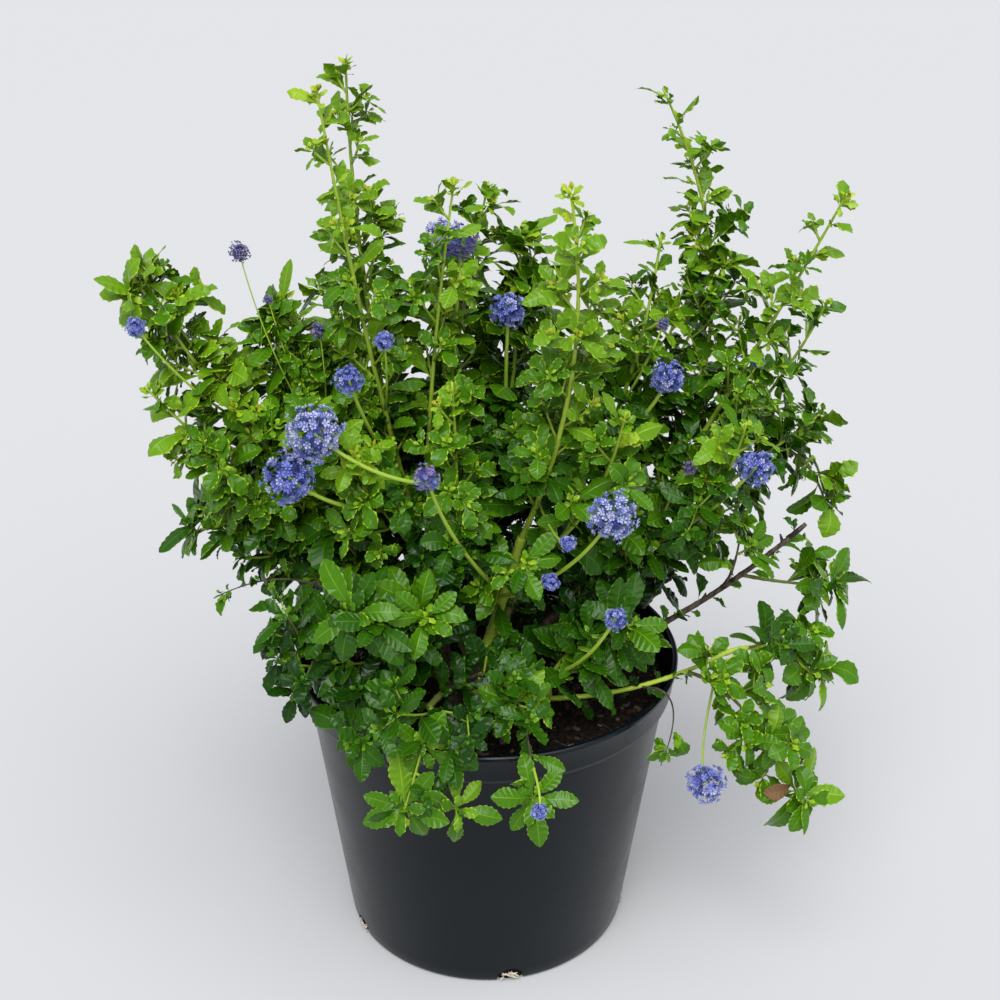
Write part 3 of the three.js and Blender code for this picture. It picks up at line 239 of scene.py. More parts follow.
# the shoots with the broadest leaves, in whorls that look forwards
BROAD = {"shoot_far_right", "shoot_low_far_right", "shoot_hanging_right", "shoot_right_arching"}
# the shoots that end in a wide whorl of large leaves, and those whose whorls are a fresher green as painted
# light, where the other whorls take a darker green as painted shade
WHORLED = NARROW | BROAD | {"shoot_inner_left", "shoot_left_middle"}
SUNNY = BROAD | {"shoot_drooping", "shoot_front_small"}
# the share of the solid's radius that two boughs have
THIN_LIMBS = {"bough_low_right": 0.72, "bough_pruned": 0.88}
# the stems that no leaf hides from the front, how far along a shoot that holds, the half width that is kept
# free before them, how near to them leaves may lie again, and the leaves so small that they never hide one
IN_SIGHT = {
    "stems": (
        "trunk", "bough_leader", "shoot_leader", "shoot_tall_left_front", "shoot_tall_left",
        "shoot_middle_left",
    ),
    "share": 0.8, "half_width": 4.5, "nearness": 2, "small_leaf": 8,
}
# how far short of the solid's tip a few of the finer stems end
SHORT_STEMS = {
    "shoot_low_left": 32, "shoot_drooping": 6, "shoot_low_left_front": 14,
    "shoot_far_right": 24, "shoot_hanging_right": 22, "shoot_low_far_right": 8, "shoot_right_arching": 12,
    "shoot_left": 12, "shoot_left_middle": 14,
}
# shoot, where a twig with a whorl of its own leaves it, which way and how far it goes
SIDE_WHORLS = [("shoot_drooping", 0.75, (0.72, -0.15, -0.67), 36)]
CROWN = {"middle": (0, 10), "light_middle": (0, 50), "sideways": 0.6, "lift": 0.75}
# blooms wider than this are large ones, with wide florets on a thick stalk
LARGE_BLOOM = 14

# the photograph's camera, from a fit to the pot's ellipses: where it stands, its lens, how many degrees it
# looks down and how far it rolls
VIEWER = (8.9, -1008, 846)
CAMERA = {"lens": 57.6, "sensor": 36, "down": 26.4, "roll": 0.3}
# the floor's glow is painted light, which lifts the shadows on the floor
STUDIO = {
    "floor": (0.445, 0.45, 0.46), "shadow_lifting_glow": 0.09, "half_side": 9000,
    "light": (0.94, 0.965, 1.0), "strength": 0.53, "backdrop": (0.78, 0.785, 0.815),
}
# name, the way towards it, strength and how many degrees across it is
SUNS = [("key", (-0.25, -0.8, 1.2), 2.15, 40), ("fill", (0.35, -0.7, 1.2), 1.85, 60)]


# ---------------------------------------------------------------- numbers and curves
def vec(values):
    return np.array(values, float)


def unit(vector):
    return vector / max(float(np.linalg.norm(vector)), 1e-9)


def across(vector, direction):
    """The part of a vector at right angles to a direction."""
    return vector - direction * float(np.dot(vector, direction))


def mix(a, b, share):
    return a + (b - a) * share


def even(count):
    """Shares from 0 to 1 in so many even steps."""
    return [k / count for k in range(count + 1)]


def jitter(random, span):
    """A random vector, half the span each way along each axis."""
    return vec([(random() - 0.5) * span for _ in range(3)])


def round_axis(angle):
    """The way out from the upright axis at an angle, and the way round it."""
    return vec((math.cos(angle), math.sin(angle), 0)), vec((-math.sin(angle), math.cos(angle), 0))


def around(tangent, angle):
    """A direction at right angles to a stem, turned round it."""
    first = unit(across(vec((0.4, -1, 0.3)), tangent))
    second = np.cross(tangent, first)
    return first * math.cos(angle) + second * math.sin(angle)


def seeded(seed):
    """The same short sequence of numbers between 0 and 1 for the same seed."""
    state = seed & 0xFFFFFFFF

    def following():
        nonlocal state
        state = (state * 1664525 + 1013904223) & 0xFFFFFFFF
        return state / 4294967296

    following()
    following()
    return following


class Curve:
    """A quadratic curve from start to tip with one control point."""

    def __init__(self, start, control, tip):
        self.start, self.control, self.tip = vec(start), vec(control), vec(tip)
        points = [self.point(share) for share in even(32)]
        self.length = float(sum(np.linalg.norm(b - a) for a, b in zip(points, points[1:])))

    def point(self, share):
        return (
            self.start * (1 - share) ** 2
            + self.control * 2 * share * (1 - share)
            + self.tip * share**2
        )

    def tangent(self, share):
        return unit((self.control - self.start) * (1 - share) + (self.tip - self.control) * share)

    def at(self, share):
        return self.point(share), self.tangent(share)


def curve_through(start, via, tip):
    """The curve from start to tip that passes through via half way."""
    start, via, tip = vec(start), vec(via), vec(tip)
    return Curve(start, 2 * via - 0.5 * start - 0.5 * tip, tip)


def seat_on(parent, share, toward):
    """Where a limb or stem leaves its parent, and which way it comes out."""
    point, along = parent["curve"].at(share)
    if share >= 1:
        return point + along * GAP, along
    out = unit(across(vec(toward) - point, along))
    return point + out * (parent["radius_at"](share) + GAP), out


# ---------------------------------------------------------------- meshes from arrays
def joined(parts):
    """Several (vertices, faces, slots) as one. A face of three corners repeats its last one."""
    vertices, faces, slots, count = [], [], [], 0
    for part_vertices, part_faces, part_slots in parts:
        part_faces = np.asarray(part_faces, int)
        if part_faces.shape[1] == 3:
            part_faces = np.column_stack([part_faces, part_faces[:, 2]])
        vertices.append(np.asarray(part_vertices, float))
        faces.append(part_faces + count)
        slots.append(np.broadcast_to(np.asarray(part_slots, int), len(part_faces)))
        count += len(part_vertices)
    return np.concatenate(vertices), np.concatenate(faces), np.concatenate(slots)


def make_object(name, parts, materials, smooth=True):
    """One mesh object from parts in millimetres, each face with its material's number."""
    vertices, faces, slots = joined(parts)
    is_triangle = faces[:, 2] == faces[:, 3]
    sizes = np.where(is_triangle, 3, 4)
    keep = np.ones(faces.shape, bool)
    keep[:, 3] = ~is_triangle
    mesh = bpy.data.meshes.new(name)
    mesh.vertices.add(len(vertices))
    mesh.vertices.foreach_set("co", (vertices * MM).astype(np.float32).ravel())
    mesh.loops.add(int(sizes.sum()))
    mesh.loops.foreach_set("vertex_index", faces[keep].astype(np.int32))
    mesh.polygons.add(len(faces))
    mesh.polygons.foreach_set("loop_start", np.concatenate([[0], np.cumsum(sizes)[:-1]]).astype(np.int32))
    mesh.polygons.foreach_set("material_index", slots.astype(np.int32))
    mesh.update(calc_edges=True)
    for material in materials:
        mesh.materials.append(material)
    mesh.polygons.foreach_set("use_smooth", np.full(len(faces), smooth))
    assert not mesh.validate(), name
    assert int((sizes - 2).sum()) < MOST_TRIANGLES, name
    piece = bpy.data.objects.new(name, mesh)
    bpy.context.scene.collection.objects.link(piece)
    return piece


def frames_along(points):
    """A pair of directions across a line at each of its points, carried along without twisting."""
    tangents = np.gradient(points, axis=0)
    tangents /= np.linalg.norm(tangents, axis=1)[:, None]
    first = unit(across(vec((0.3, -1, 0.2)), tangents[0]))
    firsts = []
    for tangent in tangents:
        first = unit(across(first, tangent))
        firsts.append(first)
    firsts = np.array(firsts)
    return firsts, np.cross(tangents, firsts)


def ring_points(profile, sides):
    """Rings of vertices round the upright axis, one for each (radius, height)."""
    angles = np.arange(sides) * 2 * math.pi / sides
    return [(r * math.cos(angle), r * math.sin(angle), z) for r, z in profile for angle in angles]


def ring_faces(rings, sides):
    """A closed skin over rings of vertices, with a fan at each end to one of two last vertices."""
    side = np.arange(sides)
    following = (side + 1) % sides
    quad = np.column_stack([side, following, sides + following, sides + side])
    foot, last = rings * sides, (rings - 1) * sides
    foot_fan = np.column_stack([following, side, np.full((sides, 2), foot)])
    top_fan = np.column_stack([last + side, last + following, np.full((sides, 2), foot + 1)])
    return np.concatenate([*(quad + k * sides for k in range(rings - 1)), foot_fan, top_fan])


def tube(points, radii, sides, slot=0, relief=1):
    """A round limb along points. relief gives each vertex's share of the radius from its ring and side."""
    points = np.asarray(points, float)
    firsts, seconds = frames_along(points)
    angles = np.arange(sides) * 2 * math.pi / sides
    ring = np.asarray(radii, float)[:, None] * np.broadcast_to(relief, (len(points), sides))
    vertices = (
        points[:, None]
        + firsts[:, None] * (ring * np.cos(angles))[:, :, None]
        + seconds[:, None] * (ring * np.sin(angles))[:, :, None]
    ).reshape(-1, 3)
    return np.vstack([vertices, points[0], points[-1]]), ring_faces(len(points), sides), slot


def copies(shape, places, axes, scales):
    """Copies of a small shape. axes are three directions for each copy, for the shape's X, Y and Z."""
    vertices, faces, slots = shape
    turned = np.einsum("vk,nkc->nvc", vertices, axes) * np.asarray(scales, float)[:, None, None]
    placed = (turned + np.asarray(places, float)[:, None]).reshape(-1, 3)
    offsets = np.arange(len(places)) * len(vertices)
    all_faces = (faces[None] + offsets[:, None, None]).reshape(-1, 4)
    return placed, all_faces, np.tile(slots, len(places))


# ---------------------------------------------------------------- materials
def principled(name, colour, roughness, gloss=0.5):
    material = bpy.data.materials.new(name)
    material.use_nodes = True
    shader = material.node_tree.nodes["Principled BSDF"]
    shader.inputs["Base Color"].default_value = (*colour, 1)
    shader.inputs["Roughness"].default_value = roughness
    shader.inputs["Specular IOR Level"].default_value = gloss
    return material, material.node_tree, shader


def noise_of(tree, scale, detail, stretch=(1, 1, 1)):
    """A noise in the object's own coordinates, stretched along its axes."""
    place = tree.nodes.new("ShaderNodeTexCoord")
    mapping = tree.nodes.new("ShaderNodeMapping")
    mapping.inputs["Scale"].default_value = stretch
    texture = tree.nodes.new("ShaderNodeTexNoise")
    texture.inputs["Scale"].default_value = scale
    texture.inputs["Detail"].default_value = detail
    tree.links.new(place.outputs["Object"], mapping.inputs["Vector"])
    tree.links.new(mapping.outputs["Vector"], texture.inputs["Vector"])
    return texture.outputs["Fac"]


def ramp(tree, value, stops):
    """Colours or greys along a value, as (place, colour) stops."""
    node = tree.nodes.new("ShaderNodeValToRGB")
    elements = node.color_ramp.elements
    while len(elements) < len(stops):
        elements.new(0.5)
    for element, (place, colour) in zip(elements, stops):
        element.position = place
        element.color = (*colour, 1) if isinstance(colour, tuple) else (colour, colour, colour, 1)
    tree.links.new(value, node.inputs["Fac"])
    return node.outputs["Color"]


def bumped(tree, shader, height, strength, distance):
    node = tree.nodes.new("ShaderNodeBump")
    node.inputs["Strength"].default_value = strength
    node.inputs["Distance"].default_value = distance
    tree.links.new(height, node.inputs["Height"])
    tree.links.new(node.outputs["Normal"], shader.inputs["Normal"])


def grained(name, colour, roughness, gloss, grain, bump, stops=None):
    """A surface with one grain, a noise that raises it and, where stops are given, colours it too."""
    material, tree, shader = principled(name, colour, roughness, gloss)
    height = noise_of(tree, *grain)
    if stops:
        tree.links.new(ramp(tree, height, stops), shader.inputs["Base Color"])
    bumped(tree, shader, height, *bump)
    return material


def leaf_material(name, colour, roughness=0.22):
    """A plain glossy colour; the veins are in the mesh."""
    return grained(name, colour, roughness, 0.2, (500, 2), (0.3, 0.0005))


def petal_material(name, colour):
    return grained(name, colour, 0.6, 0.5, (1500, 1), (0.2, 0.0003))


def stem_material(name, colour, roughness):
    return grained(name, colour, roughness, 0.5, (400, 3, (1, 1, 0.3)), (0.35, 0.0005))


def bark_material(name, dark, light):
    stops = [(0.36, dark), (0.62, light)]
    return grained(name, light, 0.8, 0.5, (260, 6, (1, 1, 0.25)), (0.6, 0.0012), stops)


def compost_material(name, dark, light):
    return grained(name, dark, 0.92, 0.12, (330, 8), (0.9, 0.002), [(0.4, dark), (0.66, light)])


def pot_material():
    """Satin black plastic with dry water marks and a little dust."""
    material, tree, shader = principled("pot_plastic", (0.002, 0.004, 0.006), 0.28, 0.23)
    marks = noise_of(tree, 9, 7)
    colours = [
        (0.38, (0.0006, 0.003, 0.005)), (0.62, (0.0015, 0.0045, 0.007)), (0.82, (0.010, 0.015, 0.018)),
    ]
    tree.links.new(ramp(tree, marks, colours), shader.inputs["Base Color"])
    scuffs = noise_of(tree, 40, 6)
    tree.links.new(ramp(tree, scuffs, [(0.3, 0.22), (0.7, 0.31)]), shader.inputs["Roughness"])
    bumped(tree, shader, noise_of(tree, 900, 2), 0.12, 0.0003)
    return material


TONES = [
    leaf_material("leaf_deep", (0.008, 0.038, 0.002)),
    leaf_material("leaf_dark", (0.020, 0.080, 0.002)),
    leaf_material("leaf_green", (0.050, 0.150, 0.003)),
    leaf_material("leaf_fresh", (0.115, 0.250, 0.007)),
    leaf_material("leaf_young", (0.235, 0.375, 0.015)),
    leaf_material("leaf_tip", (0.34, 0.44, 0.025)),
    leaf_material("leaf_ochre", (0.31, 0.30, 0.02)),
    leaf_material("leaf_dead", (0.17, 0.095, 0.045), 0.7),
    leaf_material("leaf_pale", (0.17, 0.31, 0.02)),
]
# the tone of each tone's midrib and margin, on the largest leaves and then on the middling ones
EDGES = [
    [DARK, GREEN, FRESH, YOUNG, TIP, TIP, OCHRE, DEAD, PALE_LEAF],
    [DARK, GREEN, YOUNG, YOUNG, TIP, TIP, OCHRE, DEAD, PALE_LEAF],
]

WOODS = [
    stem_material("stem_green", (0.28, 0.42, 0.03), 0.5),
    stem_material("stem_old_green", (0.13, 0.16, 0.03), 0.6),
    bark_material("bark", (0.03, 0.022, 0.016), (0.13, 0.095, 0.065)),
    stem_material("stalk", (0.30, 0.45, 0.04), 0.45),
    # a lighter copy of the young stems' green: their own bright colour raised by painted light against the
    # crown's shade
    stem_material("stem_young_painted_lit", (0.42, 0.58, 0.045), 0.5),
    stem_material("dead_wood", (0.016, 0.012, 0.014), 0.7),
]
STEM, OLD_STEM, BARK, STALK, YOUNG_PAINTED_LIT_STEM, DEAD_WOOD = range(6)

BLOOMS = [
    petal_material("petal_lavender", (0.15, 0.19, 0.54)),
    petal_material("petal_pale", (0.38, 0.40, 0.62)),
    petal_material("petal_blue", (0.04, 0.055, 0.34)),
    petal_material("petal_faded", (0.30, 0.17, 0.26)),
    petal_material("petal_old", (0.10, 0.075, 0.12)),
    petal_material("anther", (0.50, 0.50, 0.66)),
    petal_material("pedicel", (0.09, 0.12, 0.42)),
]
LAVENDER, PALE, BLUE, FADED, OLD, ANTHER, PEDICEL = range(7)


# ---------------------------------------------------------------- limbs
limbs = {}


def trunk_radius(share):
    """The trunk tapers, and spreads over its lowest few millimetres."""
    flare = TRUNK["flare"] / limbs["trunk"]["curve"].length
    spread = (1 - share / flare) ** 2 if share < flare else 0
    straight = mix(TRUNK["radius"], TRUNK["top_radius"], share)
    return straight + (TRUNK["foot_radius"] - TRUNK["radius"]) * spread


def tapering(radii):
    """The radius at each share of a limb that tapers evenly."""
    return lambda share: mix(radii[0], radii[1], share)


limbs["trunk"] = {
    "curve": curve_through(TRUNK["foot"], TRUNK["via"], TRUNK["top"]),
    "radius_at": trunk_radius,
    "bark": True,
}
for name, share, via, tip, radii, barked in BOUGHS:
    seat, out = seat_on(limbs["trunk"], share, via)
    limbs[name] = {
        "curve": curve_through(seat, via, tip), "radius_at": tapering(radii), "bark": barked, "out": out,
    }


def bark_relief(points, sides, depth, seed):
    """Shallow lengthwise ridges and knots, as shares of the radius for each ring and side."""
    relief = np.ones((len(points), sides))
    for row, point in enumerate(points):
        for side in range(sides):
            angle = side * 2 * math.pi / sides
            here = Vector((math.cos(angle) * 1.6, math.sin(angle) * 1.6, row * 0.16 + seed * 7.1))
            ridge = noise.fractal(here, 0.9, 2.2, 4)
            knot = noise.noise(Vector((math.cos(angle), math.sin(angle), row * 0.07 + seed * 3.3)))
            relief[row, side] = 1 + depth * ridge + 0.5 * depth * knot
    return relief


def spurs_on(limb):
    """The short dead spurs along a pruned bough, and its swollen end."""
    random = seeded(907)
    spurs = []
    for k, share in enumerate((0.34, 0.45, 0.53, 0.6, 0.68, 0.77, 0.84, 0.93)):
        foot, along = limb["curve"].at(share)
        way = unit(around(along, k * GOLDEN) + along * 0.5)
        radius = limb["radius_at"](share)
        length = radius + mix(2.5, 6, random())
        points = [foot, foot + way * radius, foot + way * length * 0.75, foot + way * length]
        wood = DEAD_WOOD if k % 2 else BARK
        spurs.append(tube(points, [radius * 0.9, radius * 0.75, 0.9, 0.6], 8, wood))
    end = [limb["curve"].point(share) for share in (0.94, 0.96, 0.98, 1)]
    radius = limb["radius_at"](1)
    spurs.append(tube(end, [radius * swell for swell in (0.7, 1.1, 1.05, 0.8)], 10, DEAD_WOOD))
    return spurs


def make_limb(name, limb, number):
    """A limb with its bark and knots, its foot swollen and sunk in what carries it."""
    curve = limb["curve"]
    shares = even(max(14, int(curve.length / 2.2)))
    points = [curve.point(share) for share in shares]
    radii = [limb["radius_at"](share) * THIN_LIMBS.get(name, 1) for share in shares]
    if name == "trunk":
        points = [points[0] - vec((0, 0, 4)), *points]
        radii = [radii[0], *radii]
    else:
        sink = limb["radius_at"](0) * 1.2
        points = [points[0] - limb["out"] * sink, points[0] - limb["out"] * sink * 0.4, *points]
        radii = [radii[0] * 1.25, radii[0] * 1.15, *radii]
        radii[2:6] = [radius * swell for radius, swell in zip(radii[2:6], (1.12, 1.08, 1.04, 1.02))]
    for knot in range(2, len(radii) - 2, 6):
        radii[knot] *= 1.14
    sides = 28 if name == "trunk" else 16
    depth = 0.16 if limb["bark"] else 0.05
    relief = bark_relief(points, sides, depth, number)
    slot = BARK if limb["bark"] else YOUNG_PAINTED_LIT_STEM if name in YOUNG_PAINTED_LIT else OLD_STEM
    parts = [tube(points, radii, sides, slot, relief)]
    if name == "bough_pruned":
        parts += spurs_on(limb)
    piece = make_object("wood_" + name, parts, WOODS)
    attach(piece, "root")
    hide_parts(name)


for number, (name, limb) in enumerate(limbs.items()):
    make_limb(name, limb, number)


# ---------------------------------------------------------------- space
def lay_out(number, row):
    """A shoot from its row: its stem, and lists for what will grow on it."""
    name, bough, share, via, tip, reach, side, leaf, youth = row
    seat, out = seat_on(limbs["bough_" + bough], share, via)
    curve = curve_through(seat, via, tip)
    return {
        "name": name, "number": number, "curve": curve, "out": out, "reach": reach,
        "end": 1 - SHORT_STEMS.get(name, 0) / curve.length,
        "side": side, "leaf": leaf * GROWTH["life_size"], "cad_leaf": leaf, "youth": youth,
        "leaves": [], "twigs": [],
    }


shoots = [lay_out(number, row) for number, row in enumerate(SHOOTS)]
by_name = {shoot["name"]: shoot for shoot in shoots}


def cad_shares(shoot):
    """The shares of the stem where the solid's nodes lie."""
    length = shoot["curve"].length
    count = max(3, math.floor(length / GROWTH["cad_node"] + 0.5))
    end = 1 - 0.5 * shoot["cad_leaf"] / length
    return [((k + 1) / count) ** 0.92 * (end - 6 / length) for k in range(count)] + [end]


def stalk_of(row):
    """The curve of a flower's stalk, from the stem's side that faces the bloom to the bloom's centre."""
    name, share, centre, size, bow, bloom = row
    share = STALK_FEET.get(name, share)
    shoot, centre = by_name[name], vec(centre)
    shares = cad_shares(shoot)
    node = min(max(1, math.floor(share * (len(shares) - 2) + 0.5)), len(shares))
    foot, along = shoot["curve"].at(shares[node - 1])
    out = unit(across(centre - foot, along))
    control = (foot + centre) / 2 + vec(bow) + out * 8
    return {"shoot": shoot, "curve": Curve(foot, control, centre), "size": size, "bloom": bloom}


stalks = [stalk_of(row) for row in HEADS]
small_stalks = [stalk_of(row) for row in SMALL_HEADS]


def sampled(curve, step):
    """Points along a curve, each with its share of the way."""
    count = max(2, math.ceil(curve.length / step))
    return [(curve.point(share), share) for share in even(count)]


def tree_of(samples):
    """A search tree over samples that start with a point."""
    tree = kdtree.KDTree(len(samples))
    for index, sample in enumerate(samples):
        tree.insert(Vector(sample[0]), index)
    tree.balance()
    return tree


stem_samples = [
    (point, shoot["number"], share) for shoot in shoots for point, share in sampled(shoot["curve"], 6)
]
stem_tree = tree_of(stem_samples)
solid_samples = [
    (point, limb["radius_at"](share)) for limb in limbs.values() for point, share in sampled(limb["curve"], 4)
]
for stalk in stalks:
    solid_samples += [(point, GROWTH["stalk_radius"]) for point, _ in sampled(stalk["curve"], 4)[2:]]
solid_tree = tree_of(solid_samples)
bloom_centres = np.array([stalk["curve"].tip for stalk in stalks])
bloom_radii = np.array([stalk["size"] / 2 for stalk in stalks])


def clear_of_pot(point):
    """Whether a point is above the pot, over the compost or outside the wall."""
    away = math.hypot(point[0], point[1])
    if point[2] > POT["height"] + 1:
        return True
    if away < POT["wall_radius"] - 6:
        return point[2] > COMPOST["level"] + COMPOST["mound"] + 3
    return away > POT["lip"] + 1.5 and point[2] > 2


def clear_of_things(points):
    """Whether points are clear of the pot, the compost and the blooms."""
    for point in points:
        if not clear_of_pot(point):
            return False
        if (np.linalg.norm(bloom_centres - point, axis=1) < bloom_radii + 1.5).any():
            return False
    return True


def in_space(shoot, points, guests=0):
    """Whether points lie near the shoot's own stem, nearer to it than to any other, and clear of the wood.

    The first few points, as many as guests says, may lie among a neighbour's leaves.
    """
    if not clear_of_things(points):
        return False
    for place, point in enumerate(points):
        _, index, own = stem_tree.find(Vector(point))
        _, number, share = stem_samples[index]
        if own > mix(*shoot["reach"], share):
            return False
        if place >= guests and number != shoot["number"]:
            return False
        for _, solid, distance in solid_tree.find_range(Vector(point), 11):
            if distance < solid_samples[solid][1] + GROWTH["clear_of_limb"]:
                return False
    return True


def curve_of(name):
    """The curve of a limb or of a shoot's stem."""
    return limbs[name]["curve"] if name in limbs else by_name[name]["curve"]


def points_in_sight():
    """Points along the stems that stay in sight from the front."""
    return np.array([
        point for name in IN_SIGHT["stems"] for point, share in sampled(curve_of(name), 3)
        if share < IN_SIGHT["share"] or name in limbs
    ])


open_ways = points_in_sight() - vec(VIEWER)
open_distances = np.linalg.norm(open_ways, axis=1)
open_ways /= open_distances[:, None]


def hides_stem(point):
    """Whether a point lies right in front of a stem that stays in sight."""
    way = point - vec(VIEWER)
    away = np.linalg.norm(np.cross(open_ways, way), axis=1)
    in_front = open_distances > np.linalg.norm(way) + IN_SIGHT["nearness"]
    return bool(((away < IN_SIGHT["half_width"]) & in_front).any())


# ---------------------------------------------------------------- leaf shapes
def half_width(share, point):
    """Half the width of a blade as wide as it is long: wedge-shaped at the foot, widest past the middle.

    point is small for a blunt tip and 1 for a pointed one.
    """
    return 0.5 * max(math.sin(math.pi * min(share, 1) ** 1.45), 0.0) ** point


def bend_at(look, share):
    """How far down the midrib points, in radians, a share of the way along it."""
    return look["curl"] * share**1.5 - 0.15 * look["curl"]


def leaf_shape(grade, look):
    """A leaf one unit long along +Y, its upper side to +Z.

    The rows run out from the midrib and forward, as side veins do, by turns in a groove and on the swelling
    between two grooves, and each ends in a tooth or a notch of the margin. look has width, curl (radians that
    the tip bends down), fold (how far the halves rise), roll (how far the margins turn down), relief (depth
    of the grooves), wave and twist. The grade's pale has 1 for each strip that is midrib or margin.
    """
    petiole, slant, petiole_width, steps = 0.09, 0.24, 0.014, 60
    rows, columns, width = grade["rows"], grade["columns"], len(grade["columns"])
    shares = [0.0, *(petiole + (1 - petiole) * (k / rows) ** 0.95 for k in range(rows + 1))]
    spine = [np.zeros(3)]
    for k in range(steps):
        angle = bend_at(look, k / steps)
        spine.append(spine[-1] + vec((0, math.cos(angle), -math.sin(angle))) / steps)
    spine = np.array(spine)
    vertices = []
    for k, share in enumerate(shares):
        vein = 1 if k % 2 else -1
        for column in columns:
            reach = abs(column)
            blade = max(0.0, (share - petiole) / (1 - petiole))
            blade += slant * math.sqrt(blade) * (1 - blade) * reach
            here = petiole + (1 - petiole) * blade if share >= petiole else share
            half = max(look["width"] * half_width(blade, grade["point"]), petiole_width)
            tooth = 1 + grade["tooth"] * vein * (reach == 1 and 0.05 < blade < 0.99)
            side = half * column * tooth
            angle = bend_at(look, here)
            normal = vec((0, math.sin(angle), math.cos(angle)))
            middle = [np.interp(here * steps, range(steps + 1), spine[:, axis]) for axis in range(3)]
            height = look["fold"] * abs(side) - look["roll"] * half * reach**3
            if 0.03 < blade < 0.99:
                height += look["relief"] * vein * (0.1 < reach < 1)
                swing = math.sin(9 * here + look["phase"] + 2.2 * (column > 0))
                height += look["wave"] * half * reach**2 * swing
            height += look["twist"] * here * side
            vertices.append(np.array(middle) + vec((1, 0, 0)) * side + normal * height)
    faces, pale = [], []
    for k in range(len(shares) - 1):
        for strip in range(width - 1):
            corner = k * width + strip
            faces.append((corner, corner + 1, corner + 1 + width, corner + width))
            pale.append(1 if grade["pale"][strip] or k == 0 else 0)
    return np.array(vertices), np.array(faces), np.array(pale)


# leaves by the length in millimetres that each grade starts from: rows along the blade, columns across it
# from -1 to 1, which strips between them are pale, and the spans and sizes of what shapes them
LEAF_GRADES = [
    {"from": 24, "rows": 13, "columns": (-1, -0.92, -0.04, 0.04, 0.92, 1), "pale": (1, 0, 1, 0, 1),
     "relief": (0.006, 0.011), "tooth": 0.065, "wave": (0.03, 0.2), "width": (0.33, 0.50), "point": 0.76},
    {"from": 12.5, "rows": 8, "columns": (-1, -0.87, 0, 0.87, 1), "pale": (1, 0, 0, 1),
     "relief": (0.012, 0.021), "tooth": 0.12, "wave": (0.08, 0.34), "width": (0.36, 0.54), "point": 0.78},
    {"from": 0, "rows": 5, "columns": (-1, 0, 1), "pale": (0, 0),
     "relief": (0, 0), "tooth": 0.2, "wave": (0.1, 0.5), "width": (0.40, 0.54), "point": 1.0},
]
LOOKS = 12


def looks_for(number, grade):
    """A few different leaves of one grade, narrow to broad: some flat, some folded, recurved and wavy."""
    random = seeded(977 + number)
    return [
        {
            "width": mix(*grade["width"], (step + random()) / LOOKS),
            "curl": mix(0.2, 1.7, random()),
            "fold": mix(-0.3, 0.5, random()),
            "roll": mix(0.05, 0.5, random()),
            "relief": mix(*grade["relief"], random()),
            "wave": mix(*grade["wave"], random()),
            "twist": mix(-0.6, 0.6, random()),
            "phase": ANY_TURN * random(),
        }
        for step in range(LOOKS)
    ]


leaf_shapes = [
    [leaf_shape(grade, look) for look in looks_for(number, grade)] for number, grade in enumerate(LEAF_GRADES)
]


# ---------------------------------------------------------------- growing
def light_at(point):
    """The way a leaf's upper side looks: up, and out from the middle of the crown."""
    middle = CROWN["light_middle"]
    out = vec((CROWN["sideways"] * (point[0] - middle[0]), point[1] - middle[1], 0))
    out /= np.linalg.norm(out) + 40
    return unit(vec((out[0], out[1], CROWN["lift"])))


def lean_from(out, along, rise, random, spread):
    """A way out and forwards that wanders a little."""
    return unit(out + along * rise + jitter(random, 2 * spread) + vec((0, 0, 0.08)))


def looks_of(name):
    """From where to where in the run of looks, narrow to broad, a shoot's leaves are drawn."""
    if name in NARROW:
        return 0, 0.6
    return (0.45, 1) if name in BROAD else (0, 1)


def add_leaf(shoot, root, out, along, rise, size, tone, random, check=True):
    """Tries a leaf a few ways round, each smaller than the last, until one fits in the shoot's space."""
    for attempt in range(GROWTH["attempts"]):
        direction = lean_from(out, along, rise + 0.15 * attempt, random, 0.38 + 0.1 * attempt)
        length = size * (1 - 0.14 * attempt)
        lit = across(light_at(root), direction) * 1.4 + across(along, direction) * 0.7
        normal = unit(across(lit + jitter(random, 1.2), direction))
        side = np.cross(direction, normal)
        middle = root + direction * length * 0.6
        edge = side * length * 0.24
        points = [root + direction * length, middle + edge, middle - edge, middle]
        fits = in_space(shoot, points, 3) if check else clear_of_things(points)
        if fits and not (length > IN_SIGHT["small_leaf"] and hides_stem(middle)):
            shoot["leaves"].append({
                "root": root, "axes": (side, direction, normal), "length": length, "tone": tone,
                "look": int(mix(*looks_of(shoot["name"]), random()) * LOOKS),
            })
            return


